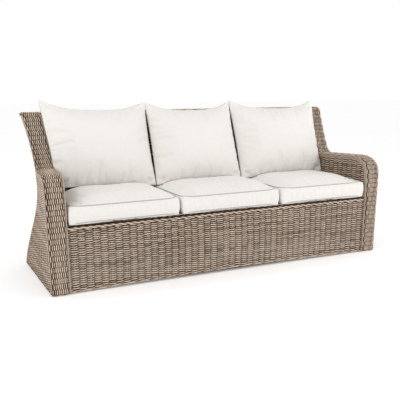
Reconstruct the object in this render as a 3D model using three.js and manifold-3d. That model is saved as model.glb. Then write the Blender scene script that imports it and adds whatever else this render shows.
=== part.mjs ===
// Woven three-seat garden sofa: a welded aluminium tube frame inside woven skins, with loose cushions.
// Millimetres, X to the right seen from the front, Y from the front to the back, Z up from the floor.
import * as THREE from 'three';
import { mergeVertices } from 'three/addons/utils/BufferGeometryUtils.js';
import Module from 'manifold-3d';

const wasm = await Module();
wasm.setup();

// Outer form
const footWidth = 2150; // over the woven posts at the floor
const sideSplay = 27; // how far each side leans out from the floor to the top of the back
const waistDrawIn = 65; // how far the rear corners draw in at the waist, on each side
const rearWaistHalf = footWidth / 2 - waistDrawIn;
const rearFootFlare = 65; // how far the rear corners widen from the waist to the floor
const rearTopFlare = 57.6; // and from the waist to the top
const waistHeight = 480;
const depth = 770; // front of the posts to the rear of the top edge
const rearFootSetIn = 50; // from the rear of the top edge, as all that is named SetIn here
const rearFootY = depth - rearFootSetIn;
const backHeight = 932;
const hemHeight = 5;
const hemArch = 14; // how far the long hems rise at mid length

// Arm and wing line, seen from the side
const postStraight = 470;
const armHeight = 632;
const armFrontY = 190;
const armRearSetIn = 340;
const armRearY = depth - armRearSetIn;
const armDrop = 8; // the arm's top is this much lower at the rear
const armFilletSetIn = 264;
const armFilletY = depth - armFilletSetIn;
const armFilletHeight = 690;
const wingTopSetIn = 127;
const wingTopY = depth - wingTopSetIn;
const wingCorner = 26;
const bendLeadShare = 0.62; // how far a bend's control points reach, of its chord
const filletLeadShare = 0.4;
const bandFootWidth = 90;
const bandTopWidth = 98;

// Woven skins
const weave = 8;
const seam = 0.5; // clearance between skins that meet
const bandProud = 3;
const bandEdge = 4; // bevel of the band's edges
const skirtSetBack = 10;
const panelColumns = 4;
const skirtColumns = 12;
const skirtRows = 4;
const backPanelRows = 6;
const roundSteps = 3; // steps of the skins' rounded edges
const panelFan = 1.5; // exponent that keeps the inner panel's lines below the arm's top
const cordDiameter = 8;
const cordSides = 6;
const topRoll = 25; // height of the woven roll along the top of the back

// Frame tubes
const tubeDiameter = 25;
const tubeWall = 2;
const tubeArcs = 4; // half the number of sides of a bent tube
const railSize = 25;
const railWall = 2;
const weldGap = 0.4;
const rearTubeGap = 2.5; // between the rear skins and the curved tubes
const rearTubeSteps = 9;
const slantRoom = 1.2; // for the end of a tube that meets its rail at a slant
const footClearance = 6; // tube ends above the floor
const hoopBend = 42; // length of the hoops' bend at the top of the wings, each way from its corner
const hoopBendSteps = 4;
const hoopTieHeight = 230;
const railClearance = 12; // bottom rails above the floor

// Glides
const glideDiameter = 24;
const glideStemLength = 20;
const glideFit = 0.4;
const glideArcs = 12;
const glideTopInset = 1.5;

// Seat
const seatHeight = 372;
const deckDrop = 2; // deck below the top of the front lip
const lipHeight = 24;
const lipRound = 8;
const lipRun = 38; // how far the lip runs back over the front rail
const backFootSetIn = 258; // front of the back panel at the seat
const backFootY = depth - backFootSetIn;
const backHeadSetIn = 105; // front of the back panel under the top roll
const backHeadY = depth - backHeadSetIn;
const waistRoom = 77; // from the front of the back panel to the rear skin, at the waist
const crossBarCount = 5;
const legSetBack = 170; // centre legs behind the front and before the rear
const backPostSpread = 330; // back posts from the middle
const rearPostSpread = 420;

// Seat cushions
const cushionThickness = 101;
const cushionCrown = 24;
const cushionFrontY = 2;
const cushionSideGap = 13;
const cushionJoint = 4; // between two cushions
const cushionRearGap = 3;
const cushionDrawIn = 7;
const cushionCornerShare = 0.045;
const cushionBelly = 5;
const cushionSteps = { across: 14, deep: 12, high: 2 };
const coreInset = 11;
const coreFit = 0.4;
const coreThickness = 78;
const zipHeight = 3;
const zipMargin = 60;
const cutOverrun = 40;

// Back cushions
const pillowFootRoom = 92; // from the foot of a back cushion to the back panel
const pillowFootY = backFootY - pillowFootRoom;
const pillowHeadSetBack = 190; // head behind the foot, as it leans
const pillowRise = 500;
const clothGap = 0.5; // between a back cushion and the seat, at the places where it is measured
const pillowFrontBelly = 98;
const pillowBackBelly = 86;
const pillowEdge = 6;
const pillowTopSag = 32;
const pillowBottomRise = 10;
const pillowDrawIn = 16;
const pillowFullness = 0.6; // exponent of the belly curve
const pillowSteps = { across: 16, high: 12 };
// left and right edges at the foot and at the head, as shares of the half width between the sides there
const pillowShares = {
  left: { foot: [-0.982, -0.351], head: [-0.985, -0.329] },
  middle: { foot: [-0.332, 0.293], head: [-0.321, 0.291] },
  right: { foot: [0.308, 0.982], head: [0.297, 0.966] },
};

// Colours
const paint = {
  weave: new THREE.MeshStandardMaterial({ color: 0x9c8874, roughness: 0.75, metalness: 0 }),
  cord: new THREE.MeshStandardMaterial({ color: 0xc9b8a2, roughness: 0.7, metalness: 0 }),
  frame: new THREE.MeshStandardMaterial({ color: 0x5a5048, roughness: 0.5, metalness: 0.6 }),
  glide: new THREE.MeshStandardMaterial({ color: 0x2b2a28, roughness: 0.6, metalness: 0 }),
  cloth: new THREE.MeshStandardMaterial({ color: 0xeae7e2, roughness: 0.95, metalness: 0 }),
  foam: new THREE.MeshStandardMaterial({ color: 0xf0e6c8, roughness: 0.95, metalness: 0 }),
};

const sofa = new THREE.Group();
sofa.position.y = -depth / 2;

function add(name, geometry, material) {
  const piece = new THREE.Mesh(geometry, material);
  piece.name = name;
  sofa.add(piece);
  return piece;
}

const point = (x, y, z) => new THREE.Vector3(x, y, z);
const mix = THREE.MathUtils.lerp;

const backPanelY = (z) =>
  mix(backFootY, backHeadY, (z - seatHeight) / (backHeight - topRoll - seatHeight));
const rearWaistY = backPanelY(waistHeight) + waistRoom;

// The outer surface of a side: a straight run from the front line to the curved rear edge
const frontHalf = (z) => footWidth / 2 + (sideSplay * z) / backHeight;
function rearHalf(z) {
  const above = z > waistHeight;
  const flare = above ? rearTopFlare : rearFootFlare;
  const span = above ? backHeight - waistHeight : waistHeight;
  return rearWaistHalf + flare * ((z - waistHeight) / span) ** 2;
}
function rearEdge(z) {
  const above = z > waistHeight;
  const swell = above ? depth - rearWaistY : rearFootY - rearWaistY;
  const span = above ? backHeight - waistHeight : waistHeight;
  return rearWaistY + swell * ((z - waistHeight) / span) ** 2;
}
function rearSlope(z) {
  const above = z > waistHeight;
  const swell = above ? depth - rearWaistY : rearFootY - rearWaistY;
  const span = above ? backHeight - waistHeight : waistHeight;
  return (2 * swell * (z - waistHeight)) / span ** 2;
}
const sideHalf = (y, z) => mix(frontHalf(z), rearHalf(z), y / rearEdge(z));
const bandWidth = (z) => mix(bandFootWidth, bandTopWidth, z / backHeight);
const innerHalf = (y, z) => sideHalf(y, z) - bandWidth(z);

// The line of the arm and wing in the side view, as stations with a tangent
const wingSlope = new THREE.Vector2(wingTopY - armFilletY, backHeight - armFilletHeight).normalize();
function bend(from, fromDirection, to, toDirection, share) {
  const reach = from.distanceTo(to) * share;
  return new THREE.CubicBezierCurve(
    from,
    from.clone().addScaledVector(fromDirection, reach),
    to.clone().addScaledVector(toDirection, -reach),
    to,
  );
}
const up = new THREE.Vector2(0, 1);
const back = new THREE.Vector2(1, 0);
const armRun = new THREE.Vector2(armRearY - armFrontY, -armDrop).normalize();
const corners = {
  foot: new THREE.Vector2(0, hemHeight),
  post: new THREE.Vector2(0, postStraight),
  armFront: new THREE.Vector2(armFrontY, armHeight),
  armRear: new THREE.Vector2(armRearY, armHeight - armDrop),
  fillet: new THREE.Vector2(armFilletY, armFilletHeight),
  wing: new THREE.Vector2(wingTopY, backHeight).addScaledVector(wingSlope, -wingCorner),
  top: new THREE.Vector2(wingTopY + wingCorner, backHeight),
  rear: new THREE.Vector2(depth, backHeight),
};
const sideRun = [
  { curve: new THREE.LineCurve(corners.foot, corners.post), steps: 6 },
  { curve: bend(corners.post, up, corners.armFront, armRun, bendLeadShare), steps: 8 },
  { curve: new THREE.LineCurve(corners.armFront, corners.armRear), steps: 3 },
  { curve: bend(corners.armRear, armRun, corners.fillet, wingSlope, filletLeadShare), steps: 5 },
  { curve: new THREE.LineCurve(corners.fillet, corners.wing), steps: 5 },
  { curve: bend(corners.wing, wingSlope, corners.top, back, filletLeadShare), steps: 4 },
  { curve: new THREE.LineCurve(corners.top, corners.rear), steps: 2 },
];
function stationsOf(run) {
  const stations = [];
  run.forEach(({ curve, steps }, index) => {
    for (let i = index === 0 ? 0 : 1; i <= steps; i++) {
      const at = curve.getPoint(i / steps);
      const along = curve.getTangent(i / steps);
      stations.push({ y: at.x, z: at.y, inY: along.y, inZ: -along.x });
    }
  });
  return stations;
}
const bandStations = stationsOf(sideRun);
const panelStations = stationsOf(sideRun.slice(0, -1));
const armPanelStations = stationsOf(sideRun.slice(0, -2));
// a point at a depth inwards from the line of the arm and wing
const inside = (s, deep) => ({ y: s.y + s.inY * deep, z: s.z + s.inZ * deep });

// A closed mesh from a list of points and triangles, turned so that its faces point out
function closed(points, triangles) {
  let volume = 0;
  const [a, b, c] = [point(), point(), point()];
  for (const t of triangles) {
    a.copy(points[t[0]]);
    b.copy(points[t[1]]);
    c.copy(points[t[2]]);
    volume += a.dot(b.cross(c));
  }
  const order = volume < 0 ? [0, 2, 1] : [0, 1, 2];
  const geometry = new THREE.BufferGeometry().setFromPoints(points);
  geometry.setIndex(triangles.flatMap((t) => order.map((k) => t[k])));
  geometry.computeVertexNormals();
  return geometry;
}

// A solid through rings of points, each ring convex, with flat ends
function loft(rings) {
  const count = rings[0].length;
  const triangles = [];
  for (let r = 0; r + 1 < rings.length; r++) {
    for (let i = 0; i < count; i++) {
      const j = (i + 1) % count;
      const [a, b, c, d] = [r * count + i, r * count + j, (r + 1) * count + j, (r + 1) * count + i];
      triangles.push([a, b, c], [a, c, d]);
    }
  }
  const last = (rings.length - 1) * count;
  for (let i = 1; i + 1 < count; i++) {
    triangles.push([0, i + 1, i], [last, last + i, last + i + 1]);
  }
  return closed(rings.flat(), triangles);
}

// A thin plate: outer and inner give its two faces at each place of a grid
function plate(columns, rows, outer, inner) {
  const points = [];
  const triangles = [];
  for (const face of [outer, inner]) {
    for (let r = 0; r <= rows; r++) {
      for (let c = 0; c <= columns; c++) points.push(face(c / columns, r));
    }
  }
  const wide = columns + 1;
  const layer = wide * (rows + 1);
  const quad = (a, b, c, d) => triangles.push([a, b, c], [a, c, d]);
  for (let r = 0; r < rows; r++) {
    for (let c = 0; c < columns; c++) {
      const k = r * wide + c;
      quad(k, k + 1, k + wide + 1, k + wide);
      quad(layer + k, layer + k + wide, layer + k + wide + 1, layer + k + 1);
    }
  }
  const rim = [];
  for (let c = 0; c < columns; c++) rim.push(c);
  for (let r = 0; r < rows; r++) rim.push(r * wide + columns);
  for (let c = columns; c > 0; c--) rim.push(rows * wide + c);
  for (let r = rows; r > 0; r--) rim.push(r * wide);
  rim.forEach((k, i) => {
    const next = rim[(i + 1) % rim.length];
    quad(k, layer + k, layer + next, next);
  });
  return closed(points, triangles);
}

// A hollow tube that passes exactly through the stations of its route
function bentTube(route, diameter = tubeDiameter, wall = tubeWall, arcs = tubeArcs) {
  const line = new THREE.CatmullRomCurve3(route);
  line.getPointAt = (t, target) => line.getPoint(t, target);
  line.getTangentAt = (t, target) => line.getTangent(t, target);
  const ring = new THREE.Shape().absarc(0, 0, diameter / 2, 0, Math.PI * 2);
  if (wall > 0) {
    ring.holes.push(new THREE.Path().absarc(0, 0, diameter / 2 - wall, 0, Math.PI * 2, true));
  }
  return new THREE.ExtrudeGeometry(ring, {
    steps: route.length - 1,
    extrudePath: line,
    curveSegments: arcs,
  });
}

// A straight square tube between two places, with its sides upright
function rail(from, to) {
  const half = railSize / 2;
  const bore = half - railWall;
  const outline = new THREE.Shape()
    .moveTo(-half, -half)
    .lineTo(half, -half)
    .lineTo(half, half)
    .lineTo(-half, half);
  outline.holes.push(
    new THREE.Path().moveTo(-bore, -bore).lineTo(-bore, bore).lineTo(bore, bore).lineTo(bore, -bore),
  );
  const length = from.distanceTo(to);
  const geometry = new THREE.ExtrudeGeometry(outline, { depth: length, bevelEnabled: false });
  const along = to.clone().sub(from).normalize();
  const upright = Math.abs(along.z) > Math.SQRT1_2 ? point(0, 1, 0) : point(0, 0, 1);
  const across = new THREE.Vector3().crossVectors(upright, along).normalize();
  const rise = new THREE.Vector3().crossVectors(along, across);
  geometry.applyMatrix4(new THREE.Matrix4().makeBasis(across, rise, along).setPosition(from));
  return geometry;
}

function toSolid(geometry) {
  const bare = geometry.clone();
  bare.deleteAttribute('normal');
  bare.deleteAttribute('uv');
  const merged = mergeVertices(bare);
  return new wasm.Manifold(
    new wasm.Mesh({
      numProp: 3,
      vertProperties: new Float32Array(merged.attributes.position.array),
      triVerts: new Uint32Array(merged.index.array),
    }),
  );
}

function toGeometry(solid) {
  const mesh = solid.getMesh();
  const geometry = new THREE.BufferGeometry();
  geometry.setAttribute('position', new THREE.BufferAttribute(mesh.vertProperties, 3));
  geometry.setIndex(new THREE.BufferAttribute(mesh.triVerts, 1));
  geometry.computeVertexNormals();
  return geometry;
}

const sides = [
  { name: 'left', sign: -1 },
  { name: 'right', sign: 1 },
];

// Woven skins of the arms and sides
const underBand = weave + seam;
const rearHeights = panelStations.map((s, i) =>
  mix(hemHeight, backHeight - underBand, i / (panelStations.length - 1)),
);

function armBand(sign) {
  const rings = bandStations.map((s) => {
    const outer = sideHalf(s.y, s.z) + bandProud;
    const inner = innerHalf(s.y, s.z) - bandProud;
    const section = [
      [inner, weave],
      [inner, bandEdge],
      [inner + bandEdge, 0],
      [outer - bandEdge, 0],
      [outer, bandEdge],
      [outer, weave],
    ];
    return section.map(([x, deep]) => {
      const at = inside(s, deep);
      return point(sign * x, at.y, at.z);
    });
  });
  return loft(rings);
}

// A side skin runs from the arm and wing line to a rear line, at a distance in from the outer surface
function sideSkin(sign, stations, rearLine, halfAt) {
  const place = (across, row, deep) => {
    const front = inside(stations[row], underBand);
    const rear = rearLine(row);
    const y = mix(front.y, rear.y, across);
    const z = mix(Math.max(front.z, hemHeight), rear.z, across);
    return point(sign * (halfAt(y, z) - deep), y, z);
  };
  return plate(
    panelColumns,
    stations.length - 1,
    (across, row) => place(across, row, 0),
    (across, row) => place(across, row, weave),
  );
}

const rearLine = (i) => ({ y: rearEdge(rearHeights[i]), z: rearHeights[i] });
const deckHeight = seatHeight - deckDrop;
const armPanelFoot = { y: 0, z: deckHeight - weave, inY: 1, inZ: 0 };
const armPanelRun = [armPanelFoot, ...armPanelStations.filter((s) => s.z > armPanelFoot.z)];
const armPanelTop = backHeight - topRoll - seam;
function armPanelRear(row) {
  const share = (row / (armPanelRun.length - 1)) ** panelFan;
  const z = mix(armPanelFoot.z, armPanelTop, share);
  return { y: backPanelY(z) - seam, z };
}

const borderRoom = bandProud + cordDiameter + 2 * seam; // what the band and its cord take of a long edge
function borderCord(sign) {
  const radius = cordDiameter / 2;
  const route = bandStations.map((s) => {
    const at = inside(s, radius + seam);
    return point(sign * (innerHalf(s.y, s.z) - bandProud - radius - seam), at.y, at.z);
  });
  return bentTube(route, cordDiameter, 0, cordSides / 2);
}

for (const { name, sign } of sides) {
  add(`arm_band_${name}`, armBand(sign), paint.weave);
  add(`side_panel_${name}`, sideSkin(sign, panelStations, rearLine, sideHalf), paint.weave);
  const innerFace = (y, z) => innerHalf(y, z) + weave;
  add(`arm_panel_${name}`, sideSkin(sign, armPanelRun, armPanelRear, innerFace), paint.weave);
  add(`border_cord_${name}`, borderCord(sign), paint.cord);
}

// Front skirt with its rolled lip
const archAt = (share) => hemArch * (1 - (2 * share - 1) ** 2);
const skirtTop = seatHeight - lipHeight - seam;
function skirtFace(y) {
  return (across, row) => {
    const z = mix(hemHeight + archAt(across), skirtTop, row / skirtRows);
    const half = innerHalf(y, z) - seam;
    return point(mix(-half, half, across), y, z);
  };
}
add(
  'front_skirt',
  plate(skirtColumns, skirtRows, skirtFace(skirtSetBack), skirtFace(skirtSetBack + weave)),
  paint.weave,
);

const railFrontY = skirtSetBack + weave + weldGap;
function frontLip() {
  const foot = seatHeight - lipHeight;
  const outline = new THREE.Shape()
    .moveTo(skirtSetBack - bandProud, foot)
    .lineTo(skirtSetBack - bandProud, seatHeight - lipRound)
    .quadraticCurveTo(skirtSetBack - bandProud, seatHeight, skirtSetBack + lipRound, seatHeight)
    .lineTo(skirtSetBack + lipRun, seatHeight)
    .lineTo(skirtSetBack + lipRun, deckHeight - weave)
    .lineTo(railFrontY - weldGap, deckHeight - weave)
    .lineTo(railFrontY - weldGap, foot);
  const half = innerHalf(skirtSetBack, foot) - borderRoom;
  const geometry = new THREE.ExtrudeGeometry(outline, {
    depth: 2 * half,
    bevelEnabled: false,
    curveSegments: roundSteps,
  });
  // the outline's first axis becomes Y and its second Z, and the run lies along X
  geometry.applyMatrix4(
    new THREE.Matrix4().makeBasis(point(0, 1, 0), point(0, 0, 1), point(1, 0, 0)),
  );
  geometry.translate(-half, 0, 0);
  return geometry;
}
add('front_lip', frontLip(), paint.weave);

// Seat deck
function deckFace(z) {
  const front = skirtSetBack + lipRun + seam;
  const rear = backPanelY(deckHeight - weave) - seam;
  return (across, row) => {
    const y = mix(front, rear, row / panelColumns);
    const half = innerHalf(y, z) - 2 * seam;
    return point(mix(-half, half, across), y, z);
  };
}
add(
  'seat_deck',
  plate(1, panelColumns, deckFace(deckHeight), deckFace(deckHeight - weave)),
  paint.weave,
);

// Back: front panel, rear panel and the roll along the top
function backFace(setBack) {
  return (across, row) => {
    const z = mix(deckHeight - weave, armPanelTop, row / backPanelRows);
    const half = innerHalf(backPanelY(z), z) - seam;
    return point(mix(-half, half, across), backPanelY(z) + setBack, z);
  };
}
add(
  'back_panel',
  plate(1, backPanelRows, backFace(0), backFace(weave)),
  paint.weave,
);

function rearFace(setIn) {
  return (across, row) => {
    const share = row / (rearHeights.length - 1);
    const z = rearHeights[row] + archAt(across) * (1 - share);
    const y = rearEdge(z) - setIn;
    const half = sideHalf(y, z) - weave - seam;
    return point(mix(-half, half, across), y, z);
  };
}
add(
  'rear_panel',
  plate(skirtColumns / 2, rearHeights.length - 1, rearFace(0), rearFace(weave)),
  paint.weave,
);

function topRollWrap() {
  const low = backHeight - topRoll;
  const frontTop = wingTopY + wingCorner / 2;
  const frontLow = wingTopY - (topRoll * wingSlope.x) / wingSlope.y + bandProud;
  const outline = new THREE.Shape()
    .moveTo(frontLow, low)
    .lineTo(wingTopY, backHeight - bandEdge - bandProud)
    .quadraticCurveTo(wingTopY, backHeight, frontTop, backHeight)
    .lineTo(depth - bandEdge, backHeight)
    .lineTo(depth, backHeight - bandEdge)
    .lineTo(depth, backHeight - weave)
    .lineTo(backHeadY + weave, backHeight - weave)
    .lineTo(backHeadY + weave, low);
  const half = Math.min(innerHalf(wingTopY, low), innerHalf(depth, backHeight)) - borderRoom;
  const geometry = new THREE.ExtrudeGeometry(outline, {
    depth: 2 * half,
    bevelEnabled: false,
    curveSegments: roundSteps,
  });
  geometry.applyMatrix4(
    new THREE.Matrix4().makeBasis(point(0, 1, 0), point(0, 0, 1), point(1, 0, 0)),
  );
  geometry.translate(-half, 0, 0);
  return geometry;
}
add('top_roll', topRollWrap(), paint.weave);

// Frame: two hoops in each side, with their feet near the floor
const tubeRadius = tubeDiameter / 2;
const tubeSetIn = weave + weldGap + tubeRadius;
const outerTubeHalf = (y, z) => sideHalf(y, z) - tubeSetIn;
const innerTubeHalf = (y, z) => innerHalf(y, z) + tubeSetIn;
const hoopDepth = underBand + weldGap + tubeRadius;
const railHalf = railSize / 2;
const topRailHeight = backHeight - underBand - weldGap - railHalf;
const topRailRearY = rearEdge(topRailHeight - railHalf) - weave - weldGap - railHalf;
function hoopSide() {
  const heads = armPanelStations.map((s) => inside(s, hoopDepth));
  const last = heads[heads.length - 1];
  const line = new THREE.Vector2(last.y, last.z);
  const corner = line.clone().addScaledVector(wingSlope, (topRailHeight - last.z) / wingSlope.y);
  const from = corner.clone().addScaledVector(wingSlope, -hoopBend);
  const to = corner.clone().addScaledVector(back, hoopBend);
  const turn = bend(from, wingSlope, to, back, filletLeadShare);
  const low = heads.filter((at) => at.z < from.y - tubeRadius);
  low[0] = { y: low[0].y, z: footClearance + weldGap };
  for (let i = 0; i <= hoopBendSteps; i++) {
    const at = turn.getPoint(i / hoopBendSteps);
    low.push({ y: at.x, z: at.y });
  }
  low.push({ y: topRailRearY - railHalf - slantRoom, z: topRailHeight });
  return low;
}
const hoopRoute = (sign, halfAt) =>
  hoopSide().map(({ y, z }) => point(sign * halfAt(y, z), y, z));

// the centre line of a curved tube along the inside of the rear panel
const rearTubeY = (z) =>
  rearEdge(z) - weave - (rearTubeGap + tubeRadius) * Math.hypot(1, rearSlope(z));
function rearTubeRoute(halfAt, low, high) {
  const route = [];
  for (let i = 0; i <= rearTubeSteps; i++) {
    const z = mix(low, high, i / rearTubeSteps);
    route.push(point(halfAt(rearTubeY(z), z), rearTubeY(z), z));
  }
  return route;
}
// room that the slanted end of a curved tube needs below a rail
const rearTop = topRailHeight - railHalf - weldGap - tubeRadius * rearSlope(topRailHeight);

// A glide: a pad on the floor with a stem pressed up into its tube
function glide(foot, along) {
  const pad = new THREE.LatheGeometry(
    [
      new THREE.Vector2(0, 0),
      new THREE.Vector2(glideDiameter / 2 - glideTopInset, 0),
      new THREE.Vector2(glideDiameter / 2, glideTopInset),
      new THREE.Vector2(glideDiameter / 2, footClearance),
      new THREE.Vector2(0, footClearance),
    ],
    glideArcs,
  );
  pad.rotateX(Math.PI / 2);
  pad.translate(foot.x, foot.y, 0);
  const radius = tubeRadius - tubeWall - glideFit;
  const stem = new THREE.CylinderGeometry(
    radius - glideTopInset,
    radius - glideTopInset,
    glideStemLength,
    glideArcs,
  );
  stem.rotateX(Math.PI / 2);
  stem.translate(0, 0, glideStemLength / 2);
  stem.applyQuaternion(new THREE.Quaternion().setFromUnitVectors(point(0, 0, 1), along));
  stem.translate(foot.x, foot.y, footClearance - glideTopInset);
  return toGeometry(toSolid(pad).add(toSolid(stem)));
}

function withGlide(name, route) {
  const along = route[1].clone().sub(route[0]).normalize();
  add(`${name}_glide`, glide(route[0], along), paint.glide);
}

// a tube whose lower end is cut level, above its glide
function levelTube(route) {
  const long = route.slice();
  long[0] = route[0].clone().addScaledVector(route[1].clone().sub(route[0]).normalize(), -tubeDiameter);
  const cut = new THREE.BoxGeometry(4 * tubeDiameter, 4 * tubeDiameter, 2 * tubeDiameter);
  cut.translate(route[0].x, route[0].y, footClearance + weldGap - tubeDiameter);
  return toGeometry(toSolid(bentTube(long)).subtract(toSolid(cut)));
}

for (const { name, sign } of sides) {
  const outer = hoopRoute(sign, outerTubeHalf);
  const inner = hoopRoute(sign, innerTubeHalf);
  add(`outer_hoop_${name}`, bentTube(outer), paint.frame);
  add(`inner_hoop_${name}`, bentTube(inner), paint.frame);
  withGlide(`outer_hoop_${name}`, outer);
  withGlide(`inner_hoop_${name}`, inner);
  const rearHalfAt = (y, z) => sign * (outerTubeHalf(y, z) - rearTubeGap);
  const tieHalf = (halfAt, reach) => sign * (halfAt(hoopDepth, hoopTieHeight) + reach);
  const tie = [
    point(tieHalf(innerTubeHalf, tubeRadius + weldGap), hoopDepth, hoopTieHeight),
    point(tieHalf(outerTubeHalf, -tubeRadius - weldGap), hoopDepth, hoopTieHeight),
  ];
  add(`hoop_tie_${name}`, rail(...tie), paint.frame);
  const rear = rearTubeRoute(rearHalfAt, footClearance + weldGap, rearTop);
  add(`rear_upright_${name}`, levelTube(rear), paint.frame);
  withGlide(`rear_upright_${name}`, rear);
}

// Rails of the base
const baseHeight = railClearance + railHalf;
const baseTop = baseHeight + railHalf;
const frontRailY = railFrontY + railHalf;
const clearOfTube = tubeRadius + weldGap;
// the least half width over a rail's own height
const tightest = (halfAt, y, z) => Math.min(halfAt(y, z - railHalf), halfAt(y, z + railHalf));
const innerFootHalf = tightest(innerTubeHalf, hoopDepth, baseHeight) - clearOfTube;
add(
  'bottom_front_rail',
  rail(point(-innerFootHalf, frontRailY, baseHeight), point(innerFootHalf, frontRailY, baseHeight)),
  paint.frame,
);
const rearRailY = rearTubeY(baseTop);
const rearRailHalf =
  tightest(outerTubeHalf, rearRailY, baseHeight) - rearTubeGap - clearOfTube;
add(
  'bottom_rear_rail',
  rail(point(-rearRailHalf, rearRailY, baseHeight), point(rearRailHalf, rearRailY, baseHeight)),
  paint.frame,
);
for (const { name, sign } of sides) {
  const frontY = hoopDepth + clearOfTube;
  const rearY = rearTubeY(baseTop) - clearOfTube * Math.hypot(1, rearSlope(baseTop));
  const [front, rear] = [frontY, rearY].map((y) =>
    point(sign * (tightest(outerTubeHalf, y, baseHeight) - weldGap), y, baseHeight),
  );
  add(`bottom_side_rail_${name}`, rail(front, rear), paint.frame);
}

// Rails of the seat
const seatRailHeight = deckHeight - weave - weldGap - railHalf;
const seatHalf = innerTubeHalf(frontRailY + railHalf, seatRailHeight) - railHalf - slantRoom;
add(
  'seat_front_rail',
  rail(point(-seatHalf, frontRailY, seatRailHeight), point(seatHalf, frontRailY, seatRailHeight)),
  paint.frame,
);
const seatRearY = backPanelY(deckHeight) + weave + weldGap + railHalf;
const sideRailHalf = (y) => innerTubeHalf(y, seatRailHeight);
const seatRearHalf = sideRailHalf(seatRearY) + railHalf;
add(
  'seat_rear_rail',
  rail(
    point(-seatRearHalf, seatRearY, seatRailHeight),
    point(seatRearHalf, seatRearY, seatRailHeight),
  ),
  paint.frame,
);
const sideRailEnds = [hoopDepth + clearOfTube, seatRearY - railHalf - slantRoom - weldGap];
for (const { name, sign } of sides) {
  const [front, rear] = sideRailEnds.map((y) =>
    point(sign * sideRailHalf(y), y, seatRailHeight),
  );
  add(`seat_side_rail_${name}`, rail(front, rear), paint.frame);
}
const barSpacing = (2 * sideRailHalf(seatRearY)) / (crossBarCount + 1);
const barEnds = [frontRailY + railHalf + weldGap, seatRearY - railHalf - weldGap];
for (let i = 0; i < crossBarCount; i++) {
  const x = (i - (crossBarCount - 1) / 2) * barSpacing;
  const [front, rear] = barEnds.map((y) => point(x, y, seatRailHeight));
  add(`seat_cross_bar_${i + 1}`, rail(front, rear), paint.frame);
}

// Centre legs under the middle cross bar
const legs = [
  { name: 'front', y: legSetBack },
  { name: 'rear', y: seatRearY - legSetBack },
];
for (const { name, y } of legs) {
  const top = seatRailHeight - railHalf - weldGap;
  const route = [point(0, y, footClearance + weldGap), point(0, y, top)];
  add(`centre_leg_${name}`, bentTube(route), paint.frame);
  withGlide(`centre_leg_${name}`, route);
}

// Back posts, rear posts, top rails and ties
const backLean = new THREE.Vector2(
  backHeadY - backFootY,
  backHeight - topRoll - seatHeight,
).normalize();
const postSetBack = (weave + weldGap + railHalf) / backLean.y;
const frontTopHeight = armPanelTop - railHalf;
const frontTopY = backPanelY(frontTopHeight + railHalf) + weave + weldGap + railHalf;
const postSlant = railHalf * backLean.x + weldGap;
for (const { name, sign } of sides) {
  const foot = seatRailHeight + railHalf + postSlant;
  const head = frontTopHeight - railHalf - postSlant;
  const [low, high] = [foot, head].map((z) =>
    point(sign * backPostSpread, backPanelY(z) + postSetBack + seam, z),
  );
  add(`back_post_${name}`, rail(low, high), paint.frame);
  const rearFoot = baseTop + weldGap - tubeRadius * rearSlope(baseTop);
  const rear = rearTubeRoute(() => sign * rearPostSpread, rearFoot, rearTop);
  add(`rear_post_${name}`, bentTube(rear), paint.frame);
}
const frontTopHalf = tightest(innerTubeHalf, frontTopY, frontTopHeight) - clearOfTube;
add(
  'top_rail_front',
  rail(point(-frontTopHalf, frontTopY, frontTopHeight), point(frontTopHalf, frontTopY, frontTopHeight)),
  paint.frame,
);
const rearTopHalf = tightest(sideHalf, topRailRearY, topRailHeight) - weave - slantRoom;
add(
  'top_rail_rear',
  rail(
    point(-rearTopHalf, topRailRearY, topRailHeight),
    point(rearTopHalf, topRailRearY, topRailHeight),
  ),
  paint.frame,
);

// Seat cushions: a boxed cover with a crowned top and drawn-in sides, round a foam core
const jointHalf = innerHalf(0, seatHeight) / 3;
const cushionTop = deckHeight + weldGap + cushionThickness;
const cushionSide = (y) => innerHalf(y, cushionTop) - cushionSideGap;
const cushionRearY = backPanelY(deckHeight) - cushionRearGap;
const cushionFoot = seatHeight + weldGap;
const seatCushions = {
  left: [(y) => -cushionSide(y), () => -jointHalf - cushionJoint / 2],
  middle: [() => -jointHalf + cushionJoint / 2, () => jointHalf - cushionJoint / 2],
  right: [() => jointHalf + cushionJoint / 2, (y) => cushionSide(y)],
};

function seatCover([leftAt, rightAt]) {
  const box = new THREE.BoxGeometry(
    2,
    2,
    2,
    cushionSteps.across,
    cushionSteps.deep,
    cushionSteps.high,
  );
  const places = box.attributes.position;
  const at = point();
  for (let i = 0; i < places.count; i++) {
    at.fromBufferAttribute(places, i);
    const { x: u, y: v, z: w } = at;
    const rounding = cushionCornerShare / 2;
    const along = v * (1 - rounding * u * u);
    const across = u * (1 - rounding * v * v);
    let y = mix(cushionFrontY, cushionRearY, (along + 1) / 2);
    const left = leftAt(y);
    const right = rightAt(y);
    let x = mix(left, right, (across + 1) / 2);
    const swell = 1 - w * w;
    x += u * (cushionBelly * (swell - 1) - cushionDrawIn * (1 - v * v) * Math.abs(u));
    y += v * (cushionBelly * (swell - 1) - cushionDrawIn * (1 - u * u) * Math.abs(v));
    const crown = w > 0 ? cushionCrown * (1 - u ** 4) * (1 - v ** 4) * w : 0;
    const z = mix(cushionFoot, cushionTop, (w + 1) / 2) + crown;
    places.setXYZ(i, x, y, z);
  }
  return box;
}

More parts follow.
